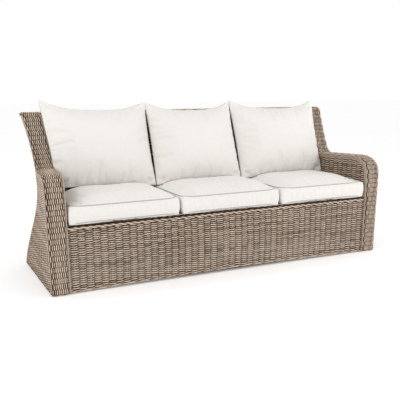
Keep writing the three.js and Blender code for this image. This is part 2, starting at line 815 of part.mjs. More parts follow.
function coreBox([leftAt, rightAt], grow) {
  const front = cushionFrontY + coreInset + cushionDrawIn;
  const rear = cushionRearY - coreInset - cushionDrawIn;
  const foot = cushionFoot + coreInset;
  const inset = coreInset + cushionDrawIn;
  const outline = new THREE.Shape()
    .moveTo(leftAt(front) + inset - grow, front - grow)
    .lineTo(rightAt(front) - inset + grow, front - grow)
    .lineTo(rightAt(rear) - inset + grow, rear + grow)
    .lineTo(leftAt(rear) + inset - grow, rear + grow);
  const geometry = new THREE.ExtrudeGeometry(outline, {
    depth: coreThickness + 2 * grow,
    bevelEnabled: false,
  });
  geometry.translate(0, 0, foot - grow);
  return geometry;
}

const seatCovers = [];
for (const [name, edges] of Object.entries(seatCushions)) {
  const pocket = coreBox(edges, coreFit);
  const [left, right] = edges.map((at) => at(cushionRearY));
  const zip = new THREE.BoxGeometry(right - left - 2 * zipMargin, 2 * cutOverrun, zipHeight);
  zip.translate((left + right) / 2, cushionRearY, cushionFoot + cushionThickness / 2);
  const cover = toSolid(seatCover(edges)).subtract(toSolid(pocket)).subtract(toSolid(zip));
  seatCovers.push(add(`seat_cushion_${name}`, toGeometry(cover), paint.cloth));
  add(`seat_core_${name}`, coreBox(edges, 0), paint.foam);
}

// Back cushions: two bellied faces that meet in a thin edge, with the corners left long
const pillowLine = new THREE.Vector2(pillowHeadSetBack, pillowRise);
const pillowLean = pillowLine.clone().normalize();
const pillowFootHeight = cushionTop + cushionCrown + pillowEdge;
const pillowFootHalf = innerHalf(pillowFootY, pillowFootHeight);
const pillowHeadHalf = innerHalf(pillowFootY + pillowHeadSetBack, backHeight);

function backCushion({ foot, head }) {
  const box = new THREE.BoxGeometry(2, 2, 2, pillowSteps.across, 1, pillowSteps.high);
  const places = box.attributes.position;
  const at = point();
  for (let i = 0; i < places.count; i++) {
    at.fromBufferAttribute(places, i);
    const { x: u, y: face, z: v } = at;
    const share = (v + 1) / 2;
    const left = mix(foot[0] * pillowFootHalf, head[0] * pillowHeadHalf, share);
    const right = mix(foot[1] * pillowFootHalf, head[1] * pillowHeadHalf, share);
    const x = mix(left, right, (u + 1) / 2) - u * pillowDrawIn * (1 - v * v);
    const pull = v > 0 ? -pillowTopSag * v * v : pillowBottomRise * v * v;
    const height = pillowLine.length() * share + pull * (1 - u * u);
    const belly = face < 0 ? pillowFrontBelly : pillowBackBelly;
    const full = Math.max((1 - u * u) * (1 - v * v), 0) ** pillowFullness;
    const out = face * (pillowEdge / 2 + belly * full);
    places.setXYZ(
      i,
      x,
      pillowFootY + height * pillowLean.x + out * pillowLean.y,
      pillowFootHeight + height * pillowLean.y - out * pillowLean.x,
    );
  }
  return box;
}

// lets a cushion down until its lowest place over the seat is as close as cloth lies to cloth
function letDown(geometry, seats) {
  const caster = new THREE.Raycaster();
  const down = point(0, 0, -1);
  const places = geometry.attributes.position;
  const at = point();
  let drop = Infinity;
  for (let i = 0; i < places.count; i++) {
    caster.set(at.fromBufferAttribute(places, i), down);
    const [hit] = caster.intersectObjects(seats);
    if (hit) drop = Math.min(drop, hit.distance);
  }
  return geometry.translate(0, 0, clothGap - drop);
}

for (const [name, edges] of Object.entries(pillowShares)) {
  add(`back_cushion_${name}`, letDown(backCushion(edges), seatCovers), paint.cloth);
}

export default sofa;
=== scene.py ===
# Woven garden sofa: strands over an aluminium frame, three boxed seat cushions, three loose back cushions
# Metres, X to the right seen from the front, Y from the front to the back, Z up from the floor
import math

import bmesh
import bpy
import numpy as np
from mathutils import Matrix, Vector
from mathutils.bvhtree import BVHTree
from mathutils.geometry import interpolate_bezier


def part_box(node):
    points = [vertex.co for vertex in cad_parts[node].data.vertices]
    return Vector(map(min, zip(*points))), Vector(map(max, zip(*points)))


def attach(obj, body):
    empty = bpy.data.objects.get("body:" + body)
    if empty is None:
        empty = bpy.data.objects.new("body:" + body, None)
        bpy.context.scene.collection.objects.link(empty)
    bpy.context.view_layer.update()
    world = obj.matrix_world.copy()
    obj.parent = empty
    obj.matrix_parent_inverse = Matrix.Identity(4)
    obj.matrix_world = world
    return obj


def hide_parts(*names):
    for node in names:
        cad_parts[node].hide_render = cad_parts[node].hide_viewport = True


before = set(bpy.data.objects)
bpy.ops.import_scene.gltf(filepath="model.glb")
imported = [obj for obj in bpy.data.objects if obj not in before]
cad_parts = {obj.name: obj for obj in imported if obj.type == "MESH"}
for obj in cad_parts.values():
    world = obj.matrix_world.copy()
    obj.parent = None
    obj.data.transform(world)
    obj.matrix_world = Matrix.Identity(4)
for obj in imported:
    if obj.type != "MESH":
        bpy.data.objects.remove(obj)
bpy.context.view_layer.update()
scene = bpy.context.scene
scene.view_settings.view_transform = "Standard"
print("frame loaded:", len(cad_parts), "nodes")


# Camera, floor and light
studio = {
    "cameraPlace": (-1.7178, -3.4868, 1.1003),
    "cameraTarget": (-0.2192, -0.3850, 0.4504),
    "lens": 55.49,
    "sensor": 36.0,
    "lightTarget": (0, 0, 0.4),
    "floorSize": 60.0,
    "floorColor": (0.95, 0.95, 0.95, 1.0),
    "floorGlow": 0.16,
    "skyStrength": 0.86,
    "backgroundStrength": 1.0,  # what the camera sees of the sky
    "keyPlace": (-3.8, -2.0, 3.4),
    "keySize": 3.2,
    "keyPower": 64.0,
    "fillPlace": (3.4, -2.1, 1.4),
    "fillSize": 2.2,
    "fillPower": 40.0,
}
white = (1.0, 1.0, 1.0, 1.0)


def aim(obj, place, target):
    direction = Vector(target) - Vector(place)
    obj.location = place
    obj.rotation_euler = direction.to_track_quat("-Z", "Y").to_euler()


def linked(name, data):
    obj = bpy.data.objects.new(name, data)
    scene.collection.objects.link(obj)
    return obj


def meshOf(name, bm):
    mesh = bpy.data.meshes.new(name)
    bm.to_mesh(mesh)
    bm.free()
    return mesh


def makeCamera():
    lens = bpy.data.cameras.new("camera")
    lens.lens = studio["lens"]
    lens.sensor_width = studio["sensor"]
    camera = linked("camera", lens)
    aim(camera, studio["cameraPlace"], studio["cameraTarget"])
    scene.camera = camera


def makeLight(name):
    lamp = bpy.data.lights.new(f"{name}Light", "AREA")
    lamp.shape = "SQUARE"
    lamp.size = studio[f"{name}Size"]
    lamp.energy = studio[f"{name}Power"]
    aim(linked(f"{name}Light", lamp), studio[f"{name}Place"], studio["lightTarget"])


def makeStudio():
    makeCamera()
    for name in ("key", "fill"):
        makeLight(name)
    world = bpy.data.worlds.new("sky")
    world.use_nodes = True
    tree = world.node_tree
    light = tree.nodes["Background"]
    seen = tree.nodes.new("ShaderNodeBackground")
    for shader, strength in ((light, studio["skyStrength"]), (seen, studio["backgroundStrength"])):
        shader.inputs["Color"].default_value = white
        shader.inputs["Strength"].default_value = strength
    path = tree.nodes.new("ShaderNodeLightPath")
    blend = tree.nodes.new("ShaderNodeMixShader")
    tree.links.new(path.outputs["Is Camera Ray"], blend.inputs["Fac"])
    tree.links.new(light.outputs["Background"], blend.inputs[1])
    tree.links.new(seen.outputs["Background"], blend.inputs[2])
    tree.links.new(blend.outputs["Shader"], tree.nodes["World Output"].inputs["Surface"])
    scene.world = world
    bm = bmesh.new()
    bmesh.ops.create_grid(bm, x_segments=1, y_segments=1, size=studio["floorSize"] / 2)
    mesh = meshOf("floor", bm)
    floor = linked("floor", mesh)
    material = bpy.data.materials.new("floorPaint")
    material.use_nodes = True
    shader = material.node_tree.nodes["Principled BSDF"]
    shader.inputs["Base Color"].default_value = studio["floorColor"]
    shader.inputs["Roughness"].default_value = 0.9
    shader.inputs["Emission Color"].default_value = white
    shader.inputs["Emission Strength"].default_value = studio["floorGlow"]
    mesh.materials.append(material)


makeStudio()
print("studio made")


# Shader maths: a wire is a socket that takes part in sums, and a paint is one material
class Wire:
    def __init__(self, paint, socket):
        self.paint = paint
        self.socket = socket

    def maths(self, operation, *others):
        return self.paint.maths(operation, self, *others)

    def __add__(self, other):
        return self.maths("ADD", other)

    def __radd__(self, other):
        return self.paint.maths("ADD", other, self)

    def __sub__(self, other):
        return self.maths("SUBTRACT", other)

    def __rsub__(self, other):
        return self.paint.maths("SUBTRACT", other, self)

    def __mul__(self, other):
        return self.maths("MULTIPLY", other)

    def __rmul__(self, other):
        return self.paint.maths("MULTIPLY", other, self)


class Paint:
    def __init__(self, name):
        self.material = bpy.data.materials.new(name)
        self.material.use_nodes = True
        self.tree = self.material.node_tree
        self.shader = self.tree.nodes["Principled BSDF"]

    def add(self, kind, settings, sockets, output=0):
        node = self.tree.nodes.new(kind)
        for key, value in settings.items():
            if key == "stops":
                ramp = node.color_ramp
                while len(ramp.elements) < len(value):
                    ramp.elements.new(1.0)
                for element, (place, color) in zip(ramp.elements, value):
                    element.position = place
                    element.color = color
            else:
                setattr(node, key, value)
        for key, value in sockets.items():
            self.feed(node.inputs[key], value)
        return Wire(self, node.outputs[output])

    def feed(self, socket, value):
        if isinstance(value, Wire):
            self.tree.links.new(value.socket, socket)
        else:
            socket.default_value = value

    def maths(self, operation, *values):
        return self.add("ShaderNodeMath", {"operation": operation}, dict(enumerate(values)))

    def mix(self, factor, first, second, blend="MIX"):
        settings = {"data_type": "RGBA", "blend_type": blend}
        sockets = {0: factor, 6: first, 7: second}
        return self.add("ShaderNodeMix", settings, sockets, output=2)

    def vector(self, x, y, z):
        return self.add("ShaderNodeCombineXYZ", {}, {0: x, 1: y, 2: z})

    def parts(self, vector):
        node = self.tree.nodes.new("ShaderNodeSeparateXYZ")
        self.feed(node.inputs[0], vector)
        return [Wire(self, socket) for socket in node.outputs]

    def noise(self, vector, scale, detail=2.0, roughness=0.5):
        sockets = {"Vector": vector, "Scale": scale, "Detail": detail, "Roughness": roughness}
        return self.add("ShaderNodeTexNoise", {}, sockets)

    def bump(self, height, distance, strength=1.0):
        sockets = {"Height": height, "Distance": distance, "Strength": strength}
        return self.add("ShaderNodeBump", {}, sockets)

    def finish(self, **sockets):
        for name, value in sockets.items():
            self.feed(self.shader.inputs[name.replace("_", " ")], value)
        return self.material


# Woven plastic strand: tone by strand and by stretch, painted shade where it dives under, fine grooves
# along it
strandLook = {
    "dark": (0.045, 0.030, 0.021, 1.0),
    "brown": (0.180, 0.118, 0.078, 1.0),
    "grey": (0.255, 0.205, 0.165, 1.0),
    "tan": (0.400, 0.285, 0.200, 1.0),
    "light": (0.620, 0.495, 0.385, 1.0),
    "toneStretch": 6.0,  # changes of tone per metre
    "ownShare": 0.34,
    "stretchShare": 0.60,
    "streakShare": 0.30,
    "streakTurns": (14.0, 6.0),  # along a strand and across it
    "patchTurns": (1.1, 0.24),
    "patchScale": 2.2,
    "patchShare": 0.85,
    # painted shade: how much darker a strand is painted where it lies deep in the weave
    "recessShadeShare": 1.12,
    "recessShadePower": 1.3,
    "grooveCount": 9.0,
    "grooveDepth": 0.00012,
    "roughness": 0.52,
}


def strandPaint(name, shift):
    look = strandLook
    paint = Paint(name)
    along, strand, _ = paint.parts(paint.add("ShaderNodeUVMap", {"uv_map": "strand"}, {}))
    recess = paint.parts(paint.add("ShaderNodeUVMap", {"uv_map": "recess"}, {}))[0]
    number = strand.maths("FLOOR")
    own = paint.add("ShaderNodeTexWhiteNoise", {"noise_dimensions": "1D"}, {"W": number})
    stretch = paint.noise(paint.vector(along, number * 7.31, 0.0), look["toneStretch"], detail=3.0)
    streakAlong, streakAcross = look["streakTurns"]
    streakPlace = paint.vector(along * streakAlong, strand * streakAcross, 0.0)
    streak = paint.noise(streakPlace, 3.0, detail=3.0, roughness=0.65)
    patchAlong, patchAcross = look["patchTurns"]
    patchPlace = paint.vector(along * patchAlong, number * patchAcross, 0.0)
    patch = paint.noise(patchPlace, look["patchScale"], detail=1.0)
    tone = own * look["ownShare"] + stretch * look["stretchShare"] + streak * look["streakShare"]
    tone = tone + patch * look["patchShare"]
    tone = tone + (shift - look["patchShare"] / 2)
    # painted shade: the strand darkens where it lies behind its neighbours
    tone = tone - recess.maths("POWER", look["recessShadePower"]) * look["recessShadeShare"]
    stops = [
        (0.16, look["dark"]),
        (0.36, look["brown"]),
        (0.50, look["grey"]),
        (0.64, look["tan"]),
        (0.92, look["light"]),
    ]
    color = paint.add("ShaderNodeValToRGB", {"stops": stops}, {"Fac": tone})
    groove = (strand * (look["grooveCount"] * math.tau)).maths("SINE")
    height = groove * 0.5 + streak * 0.8
    bump = paint.bump(height, look["grooveDepth"])
    rough = streak * 0.22 + (look["roughness"] - 0.11)
    return paint.finish(Base_Color=color, Roughness=rough, Normal=bump)


def cordPaint():
    look = strandLook
    paint = Paint("cordPaint")
    along, strand, _ = paint.parts(paint.add("ShaderNodeUVMap", {"uv_map": "strand"}, {}))
    streak = paint.noise(paint.vector(along * 20.0, strand * 8.0, 0.0), 3.0, detail=3.0, roughness=0.6)
    color = paint.mix(streak, look["grey"], look["light"])
    groove = (strand * (look["grooveCount"] * math.tau)).maths("SINE")
    bump = paint.bump(groove * 0.5 + streak, look["grooveDepth"])
    return paint.finish(Base_Color=color, Roughness=look["roughness"], Normal=bump)


# Cushion cloth: an off-white plain weave with slubs, woven threads standing across each other
clothLook = {
    "light": (0.835, 0.815, 0.785, 1.0),
    "shade": (0.735, 0.705, 0.670, 1.0),
    "threadsPerMetre": 900.0,
    "threadDepth": 0.00022,
    "slubTurns": (12.0, 420.0),  # along a slub and across it
    "roughness": 0.93,
    "sheen": 0.18,
}


def clothPaint():
    look = clothLook
    paint = Paint("clothPaint")
    coords = paint.tree.nodes.new("ShaderNodeTexCoord")
    place = Wire(paint, coords.outputs["Object"])
    x, y, z = paint.parts(place)
    nx, ny, nz = paint.parts(Wire(paint, coords.outputs["Normal"]))
    level = nz.maths("ABSOLUTE").maths("GREATER_THAN", 0.6)
    end = nx.maths("ABSOLUTE").maths("GREATER_THAN", 0.7)
    first = x * (1 - end) + y * end
    second = y * level * (1 - end) + z * (1 - level * (1 - end))
    turn = look["threadsPerMetre"] * math.pi
    warp = (first * turn).maths("SINE").maths("ABSOLUTE")
    weft = (second * turn).maths("SINE").maths("ABSOLUTE")
    long, fine = look["slubTurns"]
    slubAcross = paint.noise(paint.vector(first * long, second * fine, 0.0), 1.0, detail=2.0)
    slubUp = paint.noise(paint.vector(first * fine, second * long, 0.0), 1.0, detail=2.0)
    slub = (slubAcross + slubUp) * 0.5
    soft = paint.noise(place, 3.0, detail=2.0)
    shade = slub * 1.5 + soft * 0.3 - 0.45
    color = paint.mix(shade.maths("MAXIMUM", 0.0).maths("MINIMUM", 1.0), look["shade"], look["light"])
    height = warp * 0.4 + weft * 0.4 + slub * 1.2
    bump = paint.bump(height, look["threadDepth"])
    paint.shader.inputs["Sheen Weight"].default_value = look["sheen"]
    paint.shader.inputs["Sheen Roughness"].default_value = 0.6
    return paint.finish(Base_Color=color, Roughness=look["roughness"], Normal=bump)


# Plain finishes: a cloud of noise mixes two colours, and a grain is the relief
finishes = {
    "piping": {
        "dark": (0.40, 0.375, 0.35, 1.0),
        "light": (0.54, 0.51, 0.48, 1.0),
        "cloud": (600.0, 2.0),  # scale and detail
        "relief": 0.0002,
        "roughness": 0.9,
    },
    "tube": {
        "dark": (0.060, 0.045, 0.036, 1.0),
        "light": (0.085, 0.066, 0.053, 1.0),
        "cloud": (9.0, 3.0),
        "grain": (1400.0, 2.0),
        "relief": 0.00005,
        "roughness": 0.38,
        "roughShare": 0.16,  # how much the cloud adds to it
        "metallic": 0.25,
    },
    "glide": {
        "dark": (0.020, 0.020, 0.020, 1.0),
        "light": (0.055, 0.053, 0.050, 1.0),
        "cloud": (240.0, 4.0),
        "relief": 0.0001,
        "roughness": 0.4,
        "roughShare": 0.3,
    },
    "foam": {
        "dark": (0.74, 0.66, 0.45, 1.0),
        "light": (0.86, 0.80, 0.62, 1.0),
        "cloud": (900.0, 3.0),
        "relief": 0.0004,
        "roughness": 0.95,
    },
}


def plainPaint(name):
    look = finishes[name]
    paint = Paint(f"{name}Paint")
    place = paint.add("ShaderNodeTexCoord", {}, {}, output=3)
    cloud = paint.noise(place, *look["cloud"])
    grain = paint.noise(place, *look["grain"]) if "grain" in look else cloud
    color = paint.mix(cloud, look["dark"], look["light"])
    rough = look["roughness"]
    if "roughShare" in look:
        rough = cloud * look["roughShare"] + rough
    bump = paint.bump(grain, look["relief"])
    return paint.finish(Base_Color=color, Metallic=look.get("metallic", 0.0), Roughness=rough, Normal=bump)


paints = {
    "weave": strandPaint("weavePaint", 0.25),
    # painted light and shade: the side panels' copy of the weave has its tone shifted to stand in for how
    # light falls on the sides
    "side": strandPaint("sidePaint", 0.20),
    # painted shade: the stakes' copy of the weave is darker, for the shade they stand in behind the
    # strands
    "stake": strandPaint("shadedStakePaint", 0.06),
    # painted shade: the inner back panel's darker copy of the weave, for the shade behind the back
    # cushions
    "shade": strandPaint("shadePaint", -0.16),
    "cord": cordPaint(),
    "cloth": clothPaint(),
}
for finish in finishes:
    paints[finish] = plainPaint(finish)
print("paints mixed:", len(paints))


# The shell's form, as in the frame: Y is counted from the front of the posts
shell = {
    "footWidth": 2.150,
    "sideSplay": 0.027,
    "waistDrawIn": 0.065,
    "rearFootFlare": 0.070,
    "rearTopFlare": 0.056,
    "rearTopPower": 1.75,
    "waistHeight": 0.480,
    "depth": 0.770,
    "rearFootY": 0.720,
    "backHeight": 0.932,
    "hemHeight": 0.005,
    "hemArch": 0.014,
    "seatHeight": 0.372,
    "deckDrop": 0.002,
    "topRoll": 0.025,
    "backFootY": 0.512,
    "backHeadY": 0.665,
    "waistRoom": 0.077,
    "bandFootWidth": 0.090,
    "bandTopWidth": 0.098,
    "bandProud": 0.003,
    "weave": 0.008,
    "underBand": 0.0085,
    "skirtSetBack": 0.010,
    "lipHeight": 0.024,
    "lipRun": 0.038,
    "wingTopY": 0.643,
    "wingCorner": 0.026,
    "cordDiameter": 0.008,
}


def mix(first, second, share):
    return first + (second - first) * share


def backPanelY(z):
    rise = shell["backHeight"] - shell["topRoll"] - shell["seatHeight"]
    return mix(shell["backFootY"], shell["backHeadY"], (z - shell["seatHeight"]) / rise)


shell["rearWaistY"] = backPanelY(shell["waistHeight"]) + shell["waistRoom"]


def aboveWaist(z):
    return np.clip((z - shell["waistHeight"]) / (shell["backHeight"] - shell["waistHeight"]), 0, None)


def belowWaist(z):
    return np.clip(1 - z / shell["waistHeight"], 0, 1)


def frontHalf(z):
    return shell["footWidth"] / 2 + shell["sideSplay"] * z / shell["backHeight"]


def rearHalf(z):
    waist = shell["footWidth"] / 2 - shell["waistDrawIn"]
    foot = shell["rearFootFlare"] * (1 - np.cos(math.pi * belowWaist(z))) / 2
    return waist + shell["rearTopFlare"] * aboveWaist(z) ** shell["rearTopPower"] + foot


def rearEdge(z):
    waist = shell["rearWaistY"]
    top = (shell["depth"] - waist) * aboveWaist(z) ** 2
    return waist + top + (shell["rearFootY"] - waist) * belowWaist(z) ** 2


def sideHalf(y, z):
    return mix(frontHalf(z), rearHalf(z), y / rearEdge(z))


def bandWidth(z):
    return mix(shell["bandFootWidth"], shell["bandTopWidth"], z / shell["backHeight"])


def innerHalf(y, z):
    return sideHalf(y, z) - bandWidth(z)


def archAt(share):
    return shell["hemArch"] * (1 - (2 * share - 1) ** 2)


# The arm-and-wing line in the side view, from under the foot over the arm to the rear of the back's top
armLine = {
    "postStraight": 0.490,
    "armHeight": 0.632,
    "armFrontY": 0.160,
    "armRearY": 0.430,
    "armDrop": 0.010,
    "armFilletY": 0.506,
    "armFilletHeight": 0.690,
    "bendLeadShare": 0.50,
    "filletLeadShare": 0.4,
    "curl": 0.013,  # how far the band turns in at its foot
    "rearCurl": 0.024,
    "curlLeadShare": 0.55,
    "footDrop": 0.003,  # below the hems
}


def runsOf(points):
    return np.concatenate([[0.0], np.cumsum(np.linalg.norm(np.diff(points, axis=0), axis=1))])


def makeSideLine():
    line = armLine
    top = shell["backHeight"]
    armRear = Vector((line["armRearY"], line["armHeight"] - line["armDrop"]))
    armFront = Vector((line["armFrontY"], line["armHeight"]))
    fillet = Vector((line["armFilletY"], line["armFilletHeight"]))
    wingTop = Vector((shell["wingTopY"], top))
    armRun = (armRear - armFront).normalized()
    wingRun = (wingTop - fillet).normalized()
    wing = wingTop - wingRun * shell["wingCorner"]
    flat = Vector((shell["wingTopY"] + shell["wingCorner"], top))
    up = Vector((0.0, 1.0))
    back = Vector((1.0, 0.0))
    curl = line["curl"]
    foot = Vector((curl, shell["hemHeight"] - line["footDrop"]))
    footTop = Vector((0.0, foot.y + curl))
    post = Vector((0.0, line["postStraight"]))
    rear = Vector((shell["depth"] - line["rearCurl"], top))
    rearEnd = Vector((shell["depth"], top - line["rearCurl"]))
    stretches = [
        (foot, -back, footTop, up, line["curlLeadShare"], 5),
        (footTop, up, post, up, 0.3, 40),
        (post, up, armFront, armRun, line["bendLeadShare"], 40),
        (armFront, armRun, armRear, armRun, 0.3, 12),
        (armRear, armRun, fillet, wingRun, line["filletLeadShare"], 16),
        (fillet, wingRun, wing, wingRun, 0.3, 12),
        (wing, wingRun, flat, back, line["filletLeadShare"], 10),
        (flat, back, rear, back, 0.3, 8),
        (rear, back, rearEnd, -up, line["curlLeadShare"], 5),
    ]
    points = []
    for start, startRun, end, endRun, lead, steps in stretches:
        reach = (end - start).length * lead
        places = interpolate_bezier(start, start + startRun * reach, end - endRun * reach, end, steps + 1)
        points += [place.to_2d() for place in places][1 if points else 0:]
    return np.array([[p.x, p.y] for p in points])


sideLine = makeSideLine()
sideRun = runsOf(sideLine)
sideTangent = np.gradient(sideLine, sideRun, axis=0)
sideTangent /= np.linalg.norm(sideTangent, axis=1)[:, None]


def onSideLine(run, deep):
    y = np.interp(run, sideRun, sideLine[:, 0])
    z = np.interp(run, sideRun, sideLine[:, 1])
    along = np.interp(run, sideRun, sideTangent[:, 0])
    rise = np.interp(run, sideRun, sideTangent[:, 1])
    return y + rise * deep, z - along * deep


# Weaving: straight strands side by side, laid on a surface and passed over and under its stakes
weave = {
    "pitch": 0.041,  # from one pair of stakes to the next
    "row": 0.0064,
    "wide": 0.0061,
    "thick": 0.0034,
    "rise": 0.0036,
    "flatTop": 2.0,
    "swellShare": 0.08,
    "wanderShare": 0.06,  # how far a strand strays from its row
    "stakeSpreadShare": 0.21,  # of the pitch, to each side of the pair's middle
    "stakeWide": 0.0052,
    "stakeThick": 0.0030,
    "stakeStep": 0.045,
    "section": 0.25,  # radius of the flat strand's section, in rows
    "nudge": 0.02,
    "swayShare": 0.05,  # of a column, how far stakes sway
    "swayTurn": 0.13,
    "strayTurns": (0.83, 0.31),
}


def swayed(panel, u, v):
    ends = np.sin(math.pi * u / panel["columns"])
    return u + weave["swayShare"] * np.sin(v * weave["swayTurn"] + panel["seed"]) * ends


def flatStrands(steps, count, sides):
    bm = bmesh.new()
    bmesh.ops.create_circle(bm, segments=sides, radius=weave["section"])
    bmesh.ops.rotate(bm, verts=bm.verts, cent=(0, 0, 0), matrix=Matrix.Rotation(math.pi / 2, 3, "Y"))
    bmesh.ops.spin(
        bm, geom=bm.edges[:], cent=(0, 0, 0), axis=(1, 0, 0), dvec=(1, 0, 0), angle=0, steps=steps,
        use_duplicate=False,
    )
    bmesh.ops.holes_fill(bm, edges=[e for e in bm.edges if e.is_boundary], sides=0)
    bmesh.ops.recalc_face_normals(bm, faces=bm.faces)
    if count > 1:
        bmesh.ops.spin(
            bm, geom=bm.verts[:] + bm.edges[:] + bm.faces[:], cent=(0, 0, 0), axis=(1, 0, 0),
            dvec=(0, 1, 0), angle=0, steps=count - 1, use_duplicate=True,
        )
    return bm


def readPoints(mesh):
    points = np.empty(len(mesh.vertices) * 3)
    mesh.vertices.foreach_get("co", points)
    return points.reshape(-1, 3)


def writePoints(mesh, points):
    mesh.vertices.foreach_set("co", points.ravel())


def unitRows(vectors):
    return vectors / np.linalg.norm(vectors, axis=1)[:, None]


strandCount = 0  # numbers all strands, so that each has its own tone


def layStrands(name, steps, count, sides, lay, merge=False):
    # lay takes steps, strand numbers and the section's two unit coordinates, and gives places, lengths and
    # painted shade
    global strandCount
    mesh = meshOf(name, flatStrands(steps, count, sides))
    flat = readPoints(mesh)
    strand = np.round(flat[:, 1])
    across = (flat[:, 1] - strand) / weave["section"]
    off = flat[:, 2] / weave["section"]
    places, run, recess = lay(flat[:, 0], strand, across, off)
    places = places - np.array([0.0, shell["depth"] / 2, 0.0])
    writePoints(mesh, places)
    corners = np.empty(len(mesh.loops), np.int32)
    mesh.loops.foreach_get("vertex_index", corners)
    turn = np.arctan2(off, across) / math.tau
    numbers = strand + strandCount + 0.5 + turn * 0.9
    uv = np.stack([run[corners], numbers[corners]], axis=1)
    mesh.uv_layers.new(name="strand").data.foreach_set("uv", uv.ravel().astype(np.float32))
    # the second map carries painted shade, 1 where a strand lies deepest in the weave
    shadeUv = np.stack([recess[corners], np.zeros(len(corners))], axis=1)
    mesh.uv_layers.new(name="recess").data.foreach_set("uv", shadeUv.ravel().astype(np.float32))
    strandCount += count
    if merge:
        bm = bmesh.new()
        bm.from_mesh(mesh)
        bmesh.ops.remove_doubles(bm, verts=bm.verts, dist=0.00002)
        bm.to_mesh(mesh)
        bm.free()
    mesh.shade_smooth()
    mesh.update()
    return mesh


def onSurface(place, u, v, facing):
    # facing is -1 where rows that go up would turn the outside of the strands inwards
    nudge = weave["nudge"]
    along = place(u + nudge, v) - place(u - nudge, v)
    side = facing * unitRows(place(u, v + nudge) - place(u, v - nudge))
    out = unitRows(np.cross(along, side))
    return place(u, v), side, out


def strandsOver(name, panel, place, firstRow, rowCount, limit=None):
    rng = np.random.default_rng(panel["seed"])
    phases = rng.uniform(0, math.tau, panel["rows"] + 1)
    strays = rng.normal(0, 1, panel["rows"] + 1)
    row = panel.get("row", weave["row"])
    wide = row / weave["row"] * weave["wide"] / 2

    def lay(step, strand, across, off):
        number = strand + firstRow
        index = number.astype(int)
        u = step / panel["steps"]
        if limit is not None:
            low, high = limit(number)
            u = np.clip(u, low, high)
        wave = np.cos(math.pi * (u + number))
        bulge = np.tanh(weave["flatTop"] * wave) / math.tanh(weave["flatTop"])
        quick, slow = weave["strayTurns"]
        stray = np.sin(u * quick + phases[index])
        stray = stray + 0.5 * strays[index] * np.sin(u * slow + phases[index] * 3)
        v = number + weave["wanderShare"] * stray
        shifted = swayed(panel, u, number)
        centre, side, out = onSurface(place, shifted, v, panel.get("facing", 1))
        breadth = wide * (1 + weave["swellShare"] * np.abs(bulge))
        lift = panel.get("rise", weave["rise"]) * bulge + off * weave["thick"] / 2
        places = centre + side * (across * breadth)[:, None] + out * lift[:, None]
        # the last value is painted shade, strongest where the strand passes under
        return places, u * panel.get("pitch", weave["pitch"]), (1 - bulge) / 2

    return layStrands(name, panel["columns"] * panel["steps"], rowCount, 5, lay, merge=limit is not None)


def stakesOver(name, panel, place, limit=None):
    row = panel.get("row", weave["row"])
    height = panel["rows"] * row
    steps = max(2, round(height / weave["stakeStep"]))

    def lay(step, strand, across, off):
        pair = np.floor(strand / 2)
        u = pair + weave["stakeSpreadShare"] * np.where(strand % 2 == 0, -1, 1)
        u = np.clip(u, weave["stakeSpreadShare"] / 2, panel["columns"] - weave["stakeSpreadShare"] / 2)
        v = step / steps * (panel["rows"] - 1)
        if limit is not None:
            low, high = limit(u)
            v = np.clip(v, low, high)
        shifted = swayed(panel, u, v)
        nudge = weave["nudge"]
        along = unitRows(place(shifted, v + nudge) - place(shifted, v - nudge))
        side = unitRows(place(shifted + nudge, v) - place(shifted - nudge, v))
        out = unitRows(np.cross(along, side))
        breadth = (across * weave["stakeWide"] / 2)[:, None]
        lift = (off * weave["stakeThick"] / 2)[:, None]
        # stakes carry half the painted shade all along their length
        return place(shifted, v) + side * breadth + out * lift, v * row, np.full_like(v, 0.5)

    return layStrands(name, steps, (panel["columns"] + 1) * 2, 5, lay, merge=limit is not None)


def addPiece(name, mesh, paint, body, slot, *replaced):
    piece = linked(name, mesh)
    mesh.materials.append(paints[paint])
    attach(piece, body)
    if replaced:
        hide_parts(*replaced)
    return piece


def weavePanel(name, panel, place, replaced, limit=None, stakeLimit=None, paint="weave", stake="stake"):
    # a big panel is made of strips of rows, because each piece stays light
    strips = panel.get("strips", 1)
    edges = np.linspace(0, panel["rows"], strips + 1).round().astype(int)
    for strip in range(strips):
        label = name if strips == 1 else f"{name}_{strip + 1}"
        first, last = int(edges[strip]), int(edges[strip + 1])
        mesh = strandsOver(label, panel, place, first, last - first, limit)
        addPiece(label, mesh, paint, "sofa_frame", "woven_rattan", *([replaced] if strip == 0 else []))
    stakes = stakesOver(f"{name}_stakes", panel, place, stakeLimit)
    addPiece(f"{name}_stakes", stakes, stake, "sofa_frame", "woven_rattan")


def columnsFor(length, pitch=None):
    return max(1, round(length / (pitch or weave["pitch"])))


def rowsFor(length, row=None):
    return max(1, round(length / (row or weave["row"])))


def stacked(x, y, z):
    return np.stack(np.broadcast_arrays(x, y, z), axis=1).astype(float)


def weaveAcross(name, panel, rowAt, replaced, paint="weave", stake="stake"):
    # a panel from side to side: rowAt gives the place and the half width of a row
    def place(u, v):
        across = u / panel["columns"]
        y, z, half = rowAt((v + 0.5) / panel["rows"], across)
        return stacked(mix(-half, half, across), y, z)

    weavePanel(name, panel, place, replaced, paint=paint, stake=stake)


# Front skirt
def makeSkirt():
    top = shell["seatHeight"] - shell["lipHeight"]
    width = 2 * innerHalf(np.array(0.0), np.array(top / 2))
    rows = rowsFor(top - shell["hemHeight"])
    panel = {"columns": columnsFor(width), "rows": rows, "steps": 6, "seed": 11}
    y = shell["skirtSetBack"] + shell["weave"] / 2

    def rowAt(share, across):
        z = mix(shell["hemHeight"] + archAt(across), top, share)
        return y, z, innerHalf(y, z)

    weaveAcross("skirtWeave", panel, rowAt, "front_skirt")


